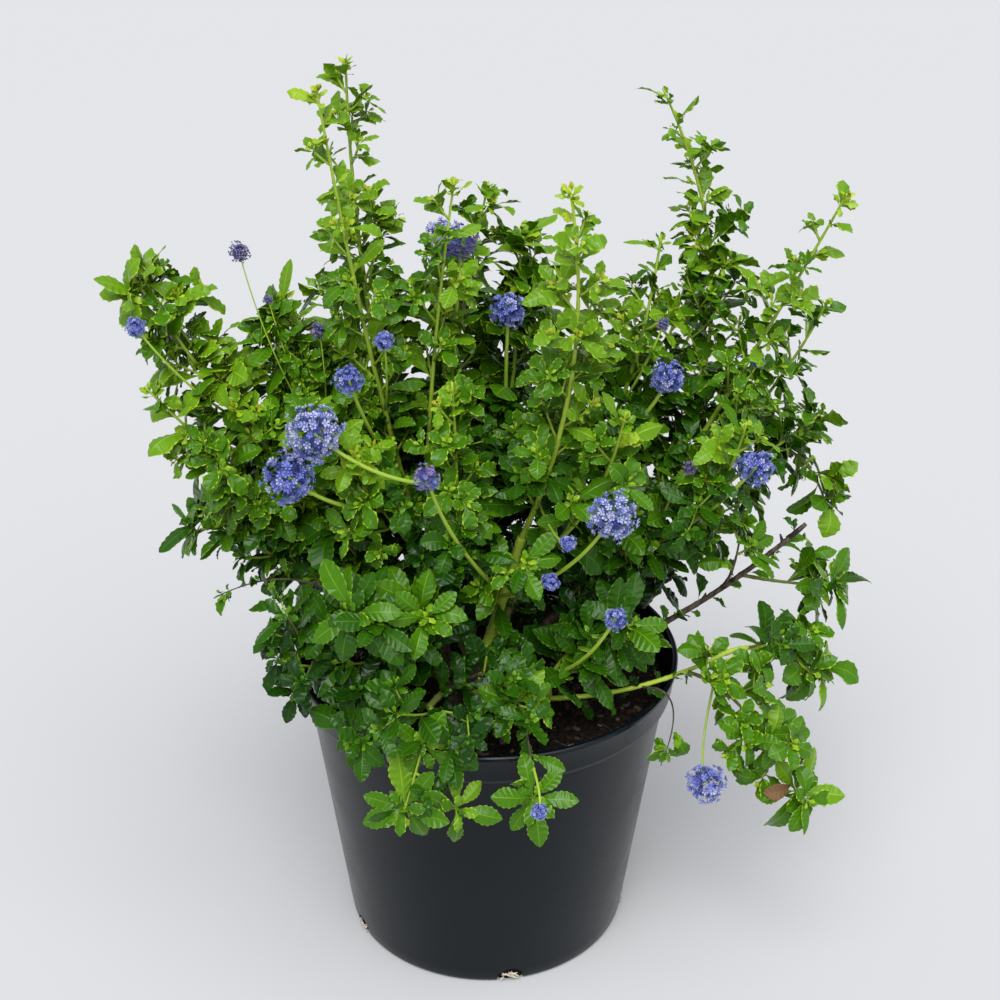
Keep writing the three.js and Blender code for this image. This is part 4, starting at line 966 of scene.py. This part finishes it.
def tone_for(shoot, point, share, random):
    """Each spray's tone: paler with the shoot's youth and towards its tip; darker inside the crown, for age
    and as painted shade; darker low down as painted shade, less so on the lit right side; paler high up as
    painted light.
    """
    away = math.hypot(point[0] - CROWN["middle"][0], point[1] - CROWN["middle"][1])
    inside = max(0.0, 1 - away / PAINTED_LIGHT_AND_SHADE["radius"])
    inside *= max(0.0, 1 - (point[2] - PAINTED_LIGHT_AND_SHADE["middle_height"]) / PAINTED_LIGHT_AND_SHADE["middle_rise"])
    low = max(0.0, 1 - (point[2] - PAINTED_LIGHT_AND_SHADE["low"]) / PAINTED_LIGHT_AND_SHADE["low_rise"])
    low *= PAINTED_LIGHT_AND_SHADE["lit_share"] if point[0] > PAINTED_LIGHT_AND_SHADE["lit_side"] else 1
    high = min(1.0, max(0.0, (point[2] - PAINTED_LIGHT_AND_SHADE["high"]) / PAINTED_LIGHT_AND_SHADE["high_rise"]))
    value = 1.15 + 1.3 * shoot["youth"] * (0.35 + share) + 0.5 * share
    # darker inside the crown for age and as painted shade, darker low down as painted shade, paler high up as
    # painted light
    value = value - 1.3 * inside - 1.45 * low + 0.3 * high
    value += 0.45 if shoot["name"] in BROAD else 0
    value += (random() - 0.5) * 1.3
    return int(min(max(round(value), DEEP), YOUNG))


def add_tuft(shoot, root, out, along, size, tone, random, count, check=True):
    """Small leaves in the axil of a larger one."""
    for k in range(count):
        turned = unit(out + around(along, k * 2.4 + ANY_TURN * random()) * 0.8)
        add_leaf(shoot, root, turned, along, 0.9, size * mix(0.7, 1.1, random()), tone, random, check)


def add_growing_tip(shoot, root, along, size, tone, random, count):
    """The small leaves that spread like a crown round a growing point, closed over it in the middle."""
    for k in range(count):
        out = around(along, k * GOLDEN)
        inner = k / count
        shade = OCHRE if k == count - 1 and tone >= YOUNG else min(tone + (k > count // 2), TIP)
        place = root + along * (k * 0.9)
        length = size * mix(1.0, 0.5, inner) * mix(0.8, 1.1, random())
        add_leaf(shoot, place, out, along, mix(0.35, 2.2, inner), length, shade, random, check=False)


def add_whorl(shoot, root, along, scale, random):
    """A wide whorl of large leaves that faces the light, with a smaller one turned between them; dark green
    as painted shade, a step fresher on sunny shoots as painted light.
    """
    forward = vec((-0.2, -0.5, 0.1)) if shoot["name"] in BROAD else vec((0, 0, 0))
    facing = unit(along * 0.5 + light_at(root) + forward)
    # painted shade: the whorl is dark green in the crown's shade, and green on sunny shoots as painted light
    darker = GREEN if shoot["name"] in SUNNY else DARK
    turn = ANY_TURN * random()
    for count, rise, size in ((6, 0.15, 0.84), (4, 0.7, 0.48)):
        for k in range(count):
            out = around(facing, turn + k * 2 * math.pi / count)
            length = min(shoot["leaf"], 42) * scale * size * mix(0.8, 1.1, random())
            tone = darker + (random() < 0.3)
            add_leaf(shoot, root, out, facing, rise, length, tone, random, check=False)
        turn += math.pi / count


def add_side_twig(shoot, start, direction, length, leaf, tone, random, wood, order=1):
    """A side twig: a leaf at each node, tufts or finer twigs in their axils, and a rosette at its end."""
    middle = start + direction * length * 0.5
    tip = middle + unit(direction * 0.8 + vec((0, 0, 0.35))) * length * 0.5
    curve = Curve(start, middle, tip)
    if not in_space(shoot, [curve.point(share) for share in (0.5, 0.75, 1)]):
        return False
    thinner = order**0.4
    shoot["twigs"].append((curve, GROWTH["twig_radius"] / thinner, GROWTH["tip_radius"] / thinner, wood))
    crowd = max(1, CROWDED.get(shoot["name"], 1))
    count = max(1, round(length / GROWTH["side_node"] * crowd**0.5))
    finer_share = 0.4 if crowd == 1 else 0.7
    turn = ANY_TURN * random()
    for node in range(count):
        share = (node + 1) / count * (1 - 3 / length)
        point, along = curve.at(share)
        out = around(along, turn + node * GOLDEN)
        size = leaf * mix(1.0, 0.72, share) * mix(0.8, 1.1, random())
        add_leaf(shoot, point, out, along, 0.55, size, tone, random)
        finer = length * mix(0.4, 0.7, random())
        grown = False
        if order == 1 and finer > 9 and random() < finer_share:
            direction = lean_from(out, along, 0.6, random, 0.3)
            grown = add_side_twig(shoot, point, direction, finer, leaf * 0.8, tone, random, STEM, 2)
        if not grown and random() < 0.6:
            add_tuft(shoot, point, out, along, size * 0.42, min(tone + 1, TIP), random, 2)
    point, along = curve.at(1)
    for k in range(4):
        out = around(along, turn + (count + k) * GOLDEN)
        size = leaf * mix(0.85, 0.55, k / 4) * mix(0.85, 1.1, random())
        add_leaf(shoot, point, out, along, mix(0.4, 1.1, k / 4), size, tone, random)
    add_growing_tip(shoot, point, along, max(6.0, leaf * 0.36), min(tone + 1, TIP), random, 5)
    return True


def grow(shoot):
    """A shoot from foot to tip by the source's rule, with closer nodes."""
    random = seeded(7919 * (shoot["number"] + 3))
    curve, youth, whorled = shoot["curve"], shoot["youth"], shoot["name"] in WHORLED
    crowd = CROWDED.get(shoot["name"], 1)
    end = shoot["end"] - GROWTH["whorl_inset" if whorled else "tip_inset"] / curve.length
    count = max(4, round(curve.length / GROWTH["node"] * crowd))
    for node in range(count):
        share = ((node + 1) / count) ** (1.15 if youth >= 0.6 else 0.92) * end
        if share < BARE.get(shoot["name"], 0):
            continue
        point, along = curve.at(share)
        out = around(along, node * GOLDEN)
        radius = mix(GROWTH["stem_radius"], GROWTH["tip_radius"], share)
        root = point + out * radius * 0.7
        tone = tone_for(shoot, point, share, random)
        at_tip = 0.8 if crowd > 1.4 else mix(0.85, 0.4, youth)
        least = mix(0.85, 0.6, youth)
        size = shoot["leaf"] * mix(1, at_tip, share**1.5) * mix(least, 1.12, random())
        wood = STEM if youth > 0.3 or share > 0.5 else OLD_STEM
        twig_length = shoot["side"] * (1 - share) ** 0.55 * mix(0.6, 1.1, random())
        add_leaf(shoot, root, out, along, mix(0.3, 0.8, share), size, tone, random)
        grown = False
        if twig_length > 10 and random() < GROWTH["side_share"]:
            turned = unit(out + around(along, ANY_TURN * random()) * 0.35)
            direction = lean_from(turned, along, 0.75, random, 0.2)
            grown = any(
                add_side_twig(shoot, point, direction, twig_length * scale, size * 0.9, tone, random, wood)
                for scale in (1, 0.75, 0.5)
            )
        if not grown:
            tuft = max(7.0, size * mix(0.35, 0.55, random()))
            add_tuft(shoot, root, out, along, tuft, min(tone + 1, TIP), random, 2 if whorled else 4)
    tip, along = curve.at(end)
    if whorled:
        if curve.length > 85:
            add_whorl(shoot, *curve.at(0.6), 0.85, random)
        add_whorl(shoot, tip, along, 1, random)
    tone = GREEN if youth < 0.4 else FRESH if youth < 0.7 else YOUNG
    add_growing_tip(shoot, tip, along, 12 + 2 * random(), tone, random, 9)


def clothe(limb_name, shoot_name, first, last, spacing, leaf):
    """Small leaves along a bough itself, one or a tuft at each of its old buds."""
    random = seeded(311 * len(limb_name))
    limb, shoot = limbs[limb_name], by_name[shoot_name]
    curve = limb["curve"]
    count = round((last - first) * curve.length / spacing)
    for node in range(count + 1):
        share = mix(first, last, node / count)
        along = curve.tangent(share)
        out = around(along, node * GOLDEN)
        root = curve.point(share) + out * limb["radius_at"](share)
        tone = tone_for(shoot, root, 0.3, random)
        add_leaf(shoot, root, out, along, 0.5, leaf * mix(0.6, 1.2, random()), tone, random, check=False)
        if random() < 0.6:
            add_tuft(shoot, root, out, along, leaf * 0.5, tone, random, 3, check=False)


def add_odd_leaf(shoot_name, share, toward, length, tone):
    """One leaf that stands out from its neighbours."""
    random = seeded(int(1000 * share))
    shoot = by_name[shoot_name]
    point, along = shoot["curve"].at(share)
    add_leaf(shoot, point, unit(vec(toward)), along, 0, length, tone, random, check=False)


def add_side_whorl(shoot_name, share, toward, length):
    """A twig from a shoot's side that ends in a whorl of its own."""
    random = seeded(1301)
    shoot, way = by_name[shoot_name], unit(vec(toward))
    start = shoot["curve"].point(share)
    tip = start + way * length
    twig = Curve(start, (start + tip) / 2 + vec((0, 0, 4)), tip)
    shoot["twigs"].append((twig, GROWTH["twig_radius"], GROWTH["tip_radius"], STEM))
    add_whorl(shoot, tip, way, 0.85, random)
    add_growing_tip(shoot, tip, way, 9, GREEN, random, 6)


for shoot in shoots:
    grow(shoot)
for row in SIDE_WHORLS:
    add_side_whorl(*row)
for row in CLOTHED:
    clothe(*row)
for row in ODD_LEAVES:
    add_odd_leaf(*row)


# ---------------------------------------------------------------- flowers
def ring_of(count, rows, faces, slot, start=0.0):
    """One part of a floret repeated round it. rows are (distance out, sideways, up)."""
    rows = vec(rows)
    vertices, all_faces = [], []
    for k in range(count):
        out, side = round_axis(start + k * 2 * math.pi / count)
        vertices.append(rows[:, :1] * out + rows[:, 1:2] * side + rows[:, 2:] * vec((0, 0, 1)))
        all_faces.append(np.array(faces) + k * len(rows))
    return np.concatenate(vertices), np.concatenate(all_faces), slot


def pedicel(foot, top, half):
    """A three-sided stalk of 5 mm under a flower."""
    rows = [(foot, -0.1, -5), (foot, 0.1, -5), (top, half, 0.1), (top, -half, 0.1)]
    return ring_of(3, rows, [(0, 1, 2, 3)], PEDICEL)


def floret(petal, sepal, openness):
    """A flower about 4.5 mm across: hooded petals on claws, sepals between them, stamens and a pedicel."""
    claw, hood, middle, tip = (reach * mix(0.55, 1.0, openness) for reach in (1.1, 2.0, 1.9, 2.8))
    petal_rows = [
        (0.3, 0, 0.1), (claw, -0.18, 0.7), (claw, 0.18, 0.7), (hood, -1.0, 1.1), (hood, 1.0, 1.1),
        (middle, 0, 0.7), (tip, 0, 1.6),
    ]
    petal_faces = [(0, 2, 1), (1, 2, 5), (1, 5, 3), (2, 4, 5), (3, 5, 6), (5, 4, 6)]
    sepal_rows = [(0.3, -0.5, 0), (0.3, 0.5, 0), (1.3, -0.5, 0.4), (1.3, 0.5, 0.4), (1.2, 0, 1.2)]
    sepal_faces = [(0, 1, 3), (0, 3, 2), (2, 3, 4)]
    stamen_rows = [
        (0.25, -0.06, 0.2), (0.25, 0.06, 0.2), (0.85, 0, 2.0), (0.7, -0.17, 2.0), (1.0, 0.17, 2.05),
        (0.86, 0, 2.3),
    ]
    between = math.pi / 5
    return joined([
        ring_of(5, petal_rows, petal_faces, petal),
        ring_of(5, sepal_rows, sepal_faces, sepal, between),
        ring_of(5, stamen_rows, [(0, 1, 2), (3, 4, 5)], ANTHER, between),
        pedicel(0.16, 0.2, 0.13),
    ])


def bud(slot):
    """A closed flower: a small pointed ball on its pedicel."""
    sides = 5
    levels = [(0.35, 0), (0.85, 0.5), (0.8, 1.1), (0.3, 1.6)]
    vertices = vec([*ring_points(levels, sides), (0, 0, 1.75)])
    side = np.arange(sides)
    following = (side + 1) % sides
    quad = np.column_stack([side, following, sides + following, sides + side])
    last = (len(levels) - 1) * sides
    point = np.column_stack([last + side, last + following, np.full((sides, 2), last + sides)])
    faces = np.concatenate([*(quad + k * sides for k in range(len(levels) - 1)), point])
    return joined([(vertices, faces, slot), pedicel(0.12, 0.16, 0.1)])


# petals, sepals and openness of the outer florets of each kind of bloom, then of what fills it between them;
# a single colour is a bud
BLOOM_KINDS = {
    "open": (
        [(LAVENDER, BLUE, 0.9), (LAVENDER, LAVENDER, 1.0), (PALE, LAVENDER, 0.8), (LAVENDER, BLUE, 0.7)],
        [(BLUE,), (BLUE, BLUE, 0.7)],
    ),
    "pale": (
        [(PALE, LAVENDER, 1.0), (PALE, PALE, 0.9), (LAVENDER, LAVENDER, 0.9), (PALE, BLUE, 0.8),
         (PALE, LAVENDER, 0.7)],
        [(BLUE, BLUE, 0.7), (LAVENDER,), (BLUE,)],
    ),
    "faded": (
        [(LAVENDER, BLUE, 0.7), (FADED, LAVENDER, 0.6), (LAVENDER, FADED, 0.8), (BLUE,)],
        [(BLUE,), (BLUE, FADED, 0.6)],
    ),
    "old": (
        [(OLD,), (FADED,), (OLD, LAVENDER, 0.5), (LAVENDER,)],
        [(OLD,), (OLD, BLUE, 0.6)],
    ),
}
FLORETS = {
    kind: [[bud(*row) if len(row) == 1 else floret(*row) for row in layer] for layer in layers]
    for kind, layers in BLOOM_KINDS.items()
}
# the room each floret takes on large blooms and small, how far the filling lies in, how lumpy a bloom is, and
# how unevenly its florets stand out
BLOOM = {"room": 28, "small_room": 13, "filling": 0.66, "lumps": 0.32, "reach": (0.77, 1.13)}


def directions_over_ball(count):
    """Directions spread evenly over a ball."""
    heights = 1 - 2 * (np.arange(count) + 0.5) / count
    angles = np.arange(count) * GOLDEN
    flat = np.sqrt(1 - heights**2)
    return np.column_stack([flat * np.cos(angles), flat * np.sin(angles), heights])


def make_bloom(stalk, number):
    """A ragged ball of florets on their pedicels round the stalk's end, over a filling of closed ones."""
    random = seeded(5081 * (number + 2))
    radius, centre = stalk["size"] / 2, stalk["curve"].tip
    size = min(1.0, max(0.6, radius / 13))
    outer, inner = FLORETS[stalk["bloom"]]
    parts = []
    room = BLOOM["room"] if stalk["size"] > LARGE_BLOOM else BLOOM["small_room"]
    for shapes, depth in ((outer, 1.0), (inner, BLOOM["filling"])):
        count = max(8, round(4 * math.pi * (radius * depth) ** 2 / (room * size**2)))
        chosen = [[] for _ in shapes]
        for direction in directions_over_ball(count):
            z = unit(direction + jitter(random, 0.5))
            x = unit(across(vec((random() - 0.5, random() - 0.5, 0.7)), z))
            swell = 1 + BLOOM["lumps"] * noise.noise(Vector(z * 2.1 + number))
            reach = (radius - 1.4 * size) * depth * swell * mix(*BLOOM["reach"], random())
            kind = int(random() * len(shapes)) % len(shapes)
            place = centre + z * max(1.0, reach)
            chosen[kind].append((place, (x, np.cross(z, x), z), size * mix(0.85, 1.12, random())))
        for shape, rows in zip(shapes, chosen):
            if rows:
                places, axes, scales = zip(*rows)
                parts.append(copies(shape, places, np.array(axes), scales))
    return parts


def make_stalk(stalk):
    """A flower's stalk, thick and pale green, thinner towards the bloom."""
    shares = even(max(6, int(stalk["curve"].length / 5)))
    thick = GROWTH["stalk_radius"] * (1 if stalk["size"] > LARGE_BLOOM else 0.6)
    thick *= THIN_STALKS.get(stalk["shoot"]["name"], 1)
    radii = [thick * mix(1.1, 0.75, share) for share in shares]
    return tube([stalk["curve"].point(share) for share in shares], radii, 7, STALK)


# ---------------------------------------------------------------- foliage pieces
def region_of(shoot):
    """The part of the crown a shoot belongs to: its depth and height, then its side."""
    x, y, z = shoot["curve"].tip
    level = "back" if y > 55 else "low" if z < 360 else "front"
    side = "far_left" if x < -135 else "left" if x < -60 else "right" if x > 100 else "middle"
    return level + "_" + side


regions = {}
for shoot in shoots:
    regions.setdefault(region_of(shoot), []).append(shoot)


def leaf_parts(members):
    """All the leaves of some shoots, by grade and look. Leaves at the back are of a coarser grade."""
    groups = {}
    for shoot in members:
        coarser = 8 if region_of(shoot).startswith("back") else 0
        for leaf in shoot["leaves"]:
            seen_size = max(leaf["length"] - coarser, 0)
            grade = next(k for k, grade in enumerate(LEAF_GRADES) if seen_size >= grade["from"])
            groups.setdefault((grade, leaf["look"]), []).append(leaf)
    parts = []
    for (grade, look), leaves in groups.items():
        shape = leaf_shapes[grade][look]
        roots, axes, lengths, tones = (
            np.array([leaf[key] for leaf in leaves]) for key in ("root", "axes", "length", "tone")
        )
        vertices, faces, pale = copies(shape, roots, axes, lengths)
        tones = np.repeat(tones, len(shape[1]))
        edges = np.array(EDGES[min(grade, 1)])[tones]
        parts.append((vertices, faces, np.where(pale == 1, edges, tones)))
    return parts


def stem_part(shoot):
    """The shoot's own stem, slightly swollen at its nodes and sunk into its bough."""
    curve = shoot["curve"]
    steps = max(8, round(curve.length / 4.3))
    shares = [shoot["end"] * k / steps for k in range(steps + 1)]
    points = [curve.start - shoot["out"] * 2.5, *[curve.point(share) for share in shares]]
    thin = SLENDER.get(shoot["name"], 1)
    radii = [mix(GROWTH["stem_radius"], GROWTH["tip_radius"], share) * thin for share in shares]
    radii = [radii[0], *[radius * (1.14 if k % 3 == 0 else 1) for k, radius in enumerate(radii)]]
    wood = STEM if shoot["youth"] > 0.25 else OLD_STEM
    wood = BARK if shoot["name"] in BROWN else YOUNG_PAINTED_LIT_STEM if shoot["name"] in YOUNG_PAINTED_LIT else wood
    return tube(points, radii, 8, wood)


def twig_part(twig):
    """A side twig from its curve, its radii and its wood."""
    curve, foot, tip, wood = twig
    shares = even(4)
    return tube([curve.point(s) for s in shares], [mix(foot, tip, s) for s in shares], 5, wood)


def make_region(region, members):
    """The leaves, the stems and the blooms of one part of the crown, a piece each."""
    names = [shoot["name"] for shoot in members]
    leaves = make_object("leaves_" + region, leaf_parts(members), TONES, smooth=False)
    stems = [stem_part(shoot) for shoot in members]
    stems += [twig_part(twig) for shoot in members for twig in shoot["twigs"]]
    blooms = []
    for number, stalk in enumerate(stalks + small_stalks):
        if stalk["shoot"]["name"] in names:
            stems.append(make_stalk(stalk))
            blooms += make_bloom(stalk, number)
    pieces = [(leaves, "foliage"), (make_object("twigs_" + region, stems, WOODS), "green_stem")]
    if blooms:
        pieces.append((make_object("flowers_" + region, blooms, BLOOMS, smooth=False), "foliage"))
    for piece, slot in pieces:
        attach(piece, "root")
        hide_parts(*names)


for region, members in regions.items():
    make_region(region, members)


# ---------------------------------------------------------------- pot
def lathe(profile, sides):
    """A closed turned body from (radius, height) points that start and end on the axis."""
    ends = [(0, 0, profile[0][1]), (0, 0, profile[-1][1])]
    vertices = vec(ring_points(profile[1:-1], sides) + ends)
    return vertices, ring_faces(len(profile) - 2, sides), 0


def inner_radius(height):
    """The radius inside the wall, which slopes evenly from the foot to the collar."""
    share = height / (POT["height"] - POT["collar_drop"])
    return mix(POT["foot"], POT["wall_radius"], share) - POT["wall"]


def pot_profile():
    """The pot's section from the middle of its foot up the outside, over the lip and down to its floor."""
    height, foot, wall = POT["height"], POT["foot"], POT["wall_radius"]
    ledge, collar = height - POT["collar_drop"], POT["collar"]
    lip, low = POT["lip"], height - POT["lip_drop"]
    outside = [
        (0, 0), (foot - 14, 0), (foot - 4, 0), (foot - 1.6, 0.5), (foot - 0.5, 1.6), (foot + 0.4, 4),
        (mix(foot, wall, 0.06), ledge * 0.06), (mix(foot, wall, 0.5), ledge * 0.5),
        (mix(foot, wall, 0.97), ledge * 0.97), (wall, ledge - 0.6), (wall + 0.7, ledge),
        (collar - 0.9, ledge + 0.5), (collar, ledge + 1.4), (collar + 0.5, ledge + 4),
        (collar + 1.5, low - 1), (collar + 2, low), (lip - 0.6, low + 0.3),
        (lip, low + 1), (lip, height - 0.9), (lip - 0.8, height),
    ]
    inside = [
        (lip - 2.8, height), (lip - 3.6, height - 0.8), (collar - POT["wall"], ledge + 4),
        (inner_radius(ledge), ledge - 1), (inner_radius(6), 6), (inner_radius(3) - 3, POT["floor"]),
        (0, POT["floor"]),
    ]
    return outside + inside


def drain_ways():
    """At each drain hole, the way out through it and the way along the wall."""
    for k in range(DRAIN["count"]):
        yield round_axis(math.radians(DRAIN["first_angle"] - k * 360 / DRAIN["count"]))


def make_pot():
    """The pot, with its drain holes cut where wall and floor meet."""
    pot = make_object("nursery_pot", [lathe(pot_profile(), POT["sides"])], [pot_material()])
    cutters = []
    for out, _ in drain_ways():
        inner_end = out * (POT["foot"] - 17) + vec((0, 0, DRAIN["height"]))
        points = [inner_end, inner_end + out * 15, inner_end + out * 30]
        cutters.append(tube(points, [DRAIN["radius"]] * 3, 24))
    cutter = make_object("drain_cutter", cutters, [])
    cut = pot.modifiers.new("drain", "BOOLEAN")
    cut.operation = "DIFFERENCE"
    cut.object = cutter
    evaluated = pot.evaluated_get(bpy.context.evaluated_depsgraph_get())
    mesh = bpy.data.meshes.new_from_object(evaluated)
    pot.modifiers.clear()
    pot.data = mesh
    bpy.data.objects.remove(cutter)
    mesh.set_sharp_from_angle(angle=math.radians(38))
    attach(pot, "root")
    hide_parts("pot")


make_pot()


# ---------------------------------------------------------------- compost
def compost_height(x, y):
    """The compost's uneven top: lumps over a low mound round the trunk."""
    here = Vector((x * 0.035, y * 0.035, 3.7))
    lumps = noise.fractal(here, 0.8, 2.1, 5)
    away = math.hypot(x - TRUNK["foot"][0], y - TRUNK["foot"][1])
    mound = COMPOST["mound"] * max(0.0, 1 - away / 60)
    return COMPOST["level"] + mound + 2.0 * lumps


def compost_body():
    """The compost, from the pot's floor up to its uneven top."""
    edge = inner_radius(COMPOST["level"]) - COMPOST["edge_gap"]
    sides, rings, foot = 120, 46, 3.6
    wall = [(inner_radius(4) - 4, foot), (inner_radius(8) - 0.8, 8), (edge, COMPOST["level"] - 6)]
    top = ring_points([(edge * k / rings, 0) for k in range(rings, 0, -1)], sides)
    top = [(x, y, compost_height(x, y)) for x, y, _ in top]
    ends = [(0, 0, foot), (0, 0, compost_height(0, 0))]
    vertices = vec(ring_points(wall, sides) + top + ends)
    return vertices, ring_faces(len(wall) + rings, sides), 0


BOX_CORNERS = [(x, y, z) for z in (-1, 1) for x, y in ((-1, -1), (1, -1), (1, 1), (-1, 1))]
BOX_FACES = [(0, 3, 2, 1), (4, 5, 6, 7), (0, 1, 5, 4), (1, 2, 6, 5), (2, 3, 7, 6), (3, 0, 4, 7)]
SCATTER = {"chips": 1500, "chips_within": 124, "edge": 125, "fibres": 160, "fibres_within": 112}
# of the compost's five materials four are for crumbs and chips and the last is for roots
CRUMB_KINDS = 4
ROOT = 4


def chip_of_bark(random):
    """A rough box that lies on the compost, or nothing where it would touch the wall."""
    angle, away = WHOLE_TURN * random(), SCATTER["chips_within"] * math.sqrt(random())
    x, y = away * math.cos(angle), away * math.sin(angle)
    size = mix(0.8, 3.4, random() ** 2.5)
    length, height = size * mix(1, 2.4, random()), size * mix(0.35, 0.9, random())
    if away + length > SCATTER["edge"]:
        return None
    raggedness = vec([jitter(random, 1) for _ in BOX_CORNERS])
    corners = vec(BOX_CORNERS) * (1 + 0.5 * raggedness) * vec((length, size, height)) * 0.5
    turn, tilt = WHOLE_TURN * random(), (random() - 0.5) * 1.2
    z_axis = unit(round_axis(turn)[0] * math.sin(tilt) + vec((0, 0, math.cos(tilt))))
    x_axis = unit(across(round_axis(turn * 3)[0], z_axis))
    axes = np.array([x_axis, np.cross(z_axis, x_axis), z_axis])
    place = vec((x, y, compost_height(x, y) + height * 0.3))
    return corners @ axes + place, BOX_FACES, int(random() ** 1.4 * CRUMB_KINDS)


def fibre(random):
    """A thin bent root on the compost."""
    angle, away = WHOLE_TURN * random(), SCATTER["fibres_within"] * math.sqrt(random())
    place = round_axis(angle)[0] * away
    turn, bend = WHOLE_TURN * random(), (random() - 0.5) * 1.6
    length = mix(5, 13, random())
    points = []
    for k in range(5):
        place = place + round_axis(turn + bend * k / 4)[0] * length / 4
        points.append(vec((place[0], place[1], compost_height(place[0], place[1]) + 0.7)))
    return tube(points, [0.3] * 5, 4, 1 + int(random() * 3))


def compost_bits():
    """Crumbs, chips of bark and fibres that lie on the compost."""
    random = seeded(4211)
    chips = [chip_of_bark(random) for _ in range(SCATTER["chips"])]
    fibres = [fibre(random) for _ in range(SCATTER["fibres"])]
    return [chip for chip in chips if chip] + fibres


# the plug of compost in each drain hole, how far in from the pot's foot and how high it lies, and its roots
PLUG = {
    "inset": 4.5, "height": 6.2, "half_width": 9, "sag": 2.4, "thick": 5.2, "least": 3.0,
    "roots": 15, "roots_out": 3.2, "roots_lowest": -5.6,
}


def random_point(random, *spans):
    """A random point within three spans."""
    return vec([mix(low, high, random()) for low, high in spans])


def drain_roots():
    """A plug of compost in each drain hole, with pale roots tangled over it."""
    random = seeded(6007)
    parts = []
    for k, (out, side) in enumerate(drain_ways()):
        middle = out * (POT["foot"] - PLUG["inset"]) + vec((0, 0, PLUG["height"]))
        shares = even(6)
        points = [
            middle + side * mix(-PLUG["half_width"], PLUG["half_width"], share)
            - vec((0, 0, PLUG["sag"] * (2 * share - 1) ** 2)) for share in shares
        ]
        radii = [max(PLUG["least"], PLUG["thick"] * math.sin(math.pi * share) ** 0.3) for share in shares]
        parts.append(tube(points, radii, 12, 0, bark_relief(points, 12, 0.16, k)))
        for _ in range(PLUG["roots"]):
            start = random_point(random, (0.5, 2), (-7, 7), (-3.5, 1.5))
            end = random_point(random, (0.5, 2), (-7, 7), (-4, 2.5))
            bend = random_point(random, (1.5, 3.5), (-4, 4), (-3, 4))
            strand = Curve(start, (start + end) / 2 + bend, end)
            points = []
            for share in even(7):
                outward, along, up = strand.point(share)
                up = vec((0, 0, max(up, PLUG["roots_lowest"])))
                points.append(middle + out * (PLUG["roots_out"] + outward) + side * along + up)
            parts.append(tube(points, [mix(0.3, 0.5, random())] * 8, 5, ROOT))
    return parts


def make_compost():
    """The body of the compost, what lies on it, and what shows in the drain holes."""
    tones = [
        compost_material("compost_dark", (0.004, 0.003, 0.0022), (0.017, 0.012, 0.008)),
        compost_material("compost_bark", (0.012, 0.008, 0.005), (0.04, 0.026, 0.015)),
        compost_material("compost_red", (0.03, 0.013, 0.007), (0.075, 0.035, 0.02)),
        compost_material("compost_grey", (0.05, 0.04, 0.03), (0.13, 0.10, 0.07)),
        compost_material("root", (0.50, 0.43, 0.33), (0.74, 0.68, 0.58)),
    ]
    body = make_object("compost_body", [compost_body()], tones)
    bits = make_object("compost_bits", compost_bits(), tones, smooth=False)
    roots = make_object("drain_roots", drain_roots(), tones)
    for piece in (body, bits, roots):
        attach(piece, "root")
        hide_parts("compost")


make_compost()


# ---------------------------------------------------------------- stage, light and camera
def make_stage():
    """The pale floor of the photograph's studio, which glows a little: painted light that lifts the shadows
    on it.
    """
    material, tree, shader = principled("pale_floor", STUDIO["floor"], 0.8, 0.2)
    # the glow is painted light that lifts the floor's shadows
    shader.inputs["Emission Color"].default_value = (*STUDIO["light"], 1)
    shader.inputs["Emission Strength"].default_value = STUDIO["shadow_lifting_glow"]
    bumped(tree, shader, noise_of(tree, 60, 3), 0.05, 0.0005)
    far = STUDIO["half_side"]
    corners = [(-far, -far, 0), (far, -far, 0), (far, far, 0), (-far, far, 0)]
    floor = make_object("studio_floor", [(corners, [(0, 1, 2, 3)], 0)], [material])


def make_sun(name, toward, strength, spread):
    """A soft light from far away, from a direction above the plant."""
    light = bpy.data.lights.new(name, "SUN")
    light.energy = strength
    light.angle = math.radians(spread)
    lamp = bpy.data.objects.new(name, light)
    lamp.rotation_euler = (-Vector(toward)).to_track_quat("-Z", "Y").to_euler()
    bpy.context.scene.collection.objects.link(lamp)


def make_world():
    """Even light from all round; the camera itself sees the floor's own pale tone beyond it."""
    world = bpy.data.worlds.new("studio")
    world.use_nodes = True
    tree = world.node_tree
    light = tree.nodes["Background"]
    light.inputs["Color"].default_value = (*STUDIO["light"], 1)
    light.inputs["Strength"].default_value = STUDIO["strength"]
    backdrop = tree.nodes.new("ShaderNodeBackground")
    backdrop.inputs["Color"].default_value = (*STUDIO["backdrop"], 1)
    path = tree.nodes.new("ShaderNodeLightPath")
    either = tree.nodes.new("ShaderNodeMixShader")
    tree.links.new(path.outputs["Is Camera Ray"], either.inputs[0])
    tree.links.new(light.outputs[0], either.inputs[1])
    tree.links.new(backdrop.outputs[0], either.inputs[2])
    tree.links.new(either.outputs[0], tree.nodes["World Output"].inputs["Surface"])
    bpy.context.scene.world = world


def make_camera():
    """The photograph's view: a little above the plant, looking down at it."""
    camera_data = bpy.data.cameras.new("camera")
    camera_data.sensor_width = CAMERA["sensor"]
    camera_data.lens = CAMERA["lens"]
    camera = bpy.data.objects.new("camera", camera_data)
    camera.location = vec(VIEWER) * MM
    level = Matrix.Rotation(math.radians(90 - CAMERA["down"]), 3, "X")
    camera.rotation_euler = (level @ Matrix.Rotation(math.radians(CAMERA["roll"]), 3, "Z")).to_euler()
    bpy.context.scene.collection.objects.link(camera)
    bpy.context.scene.camera = camera


make_stage()
make_world()
for sun in SUNS:
    make_sun(*sun)
make_camera()
bpy.context.scene.view_settings.view_transform = "Standard"
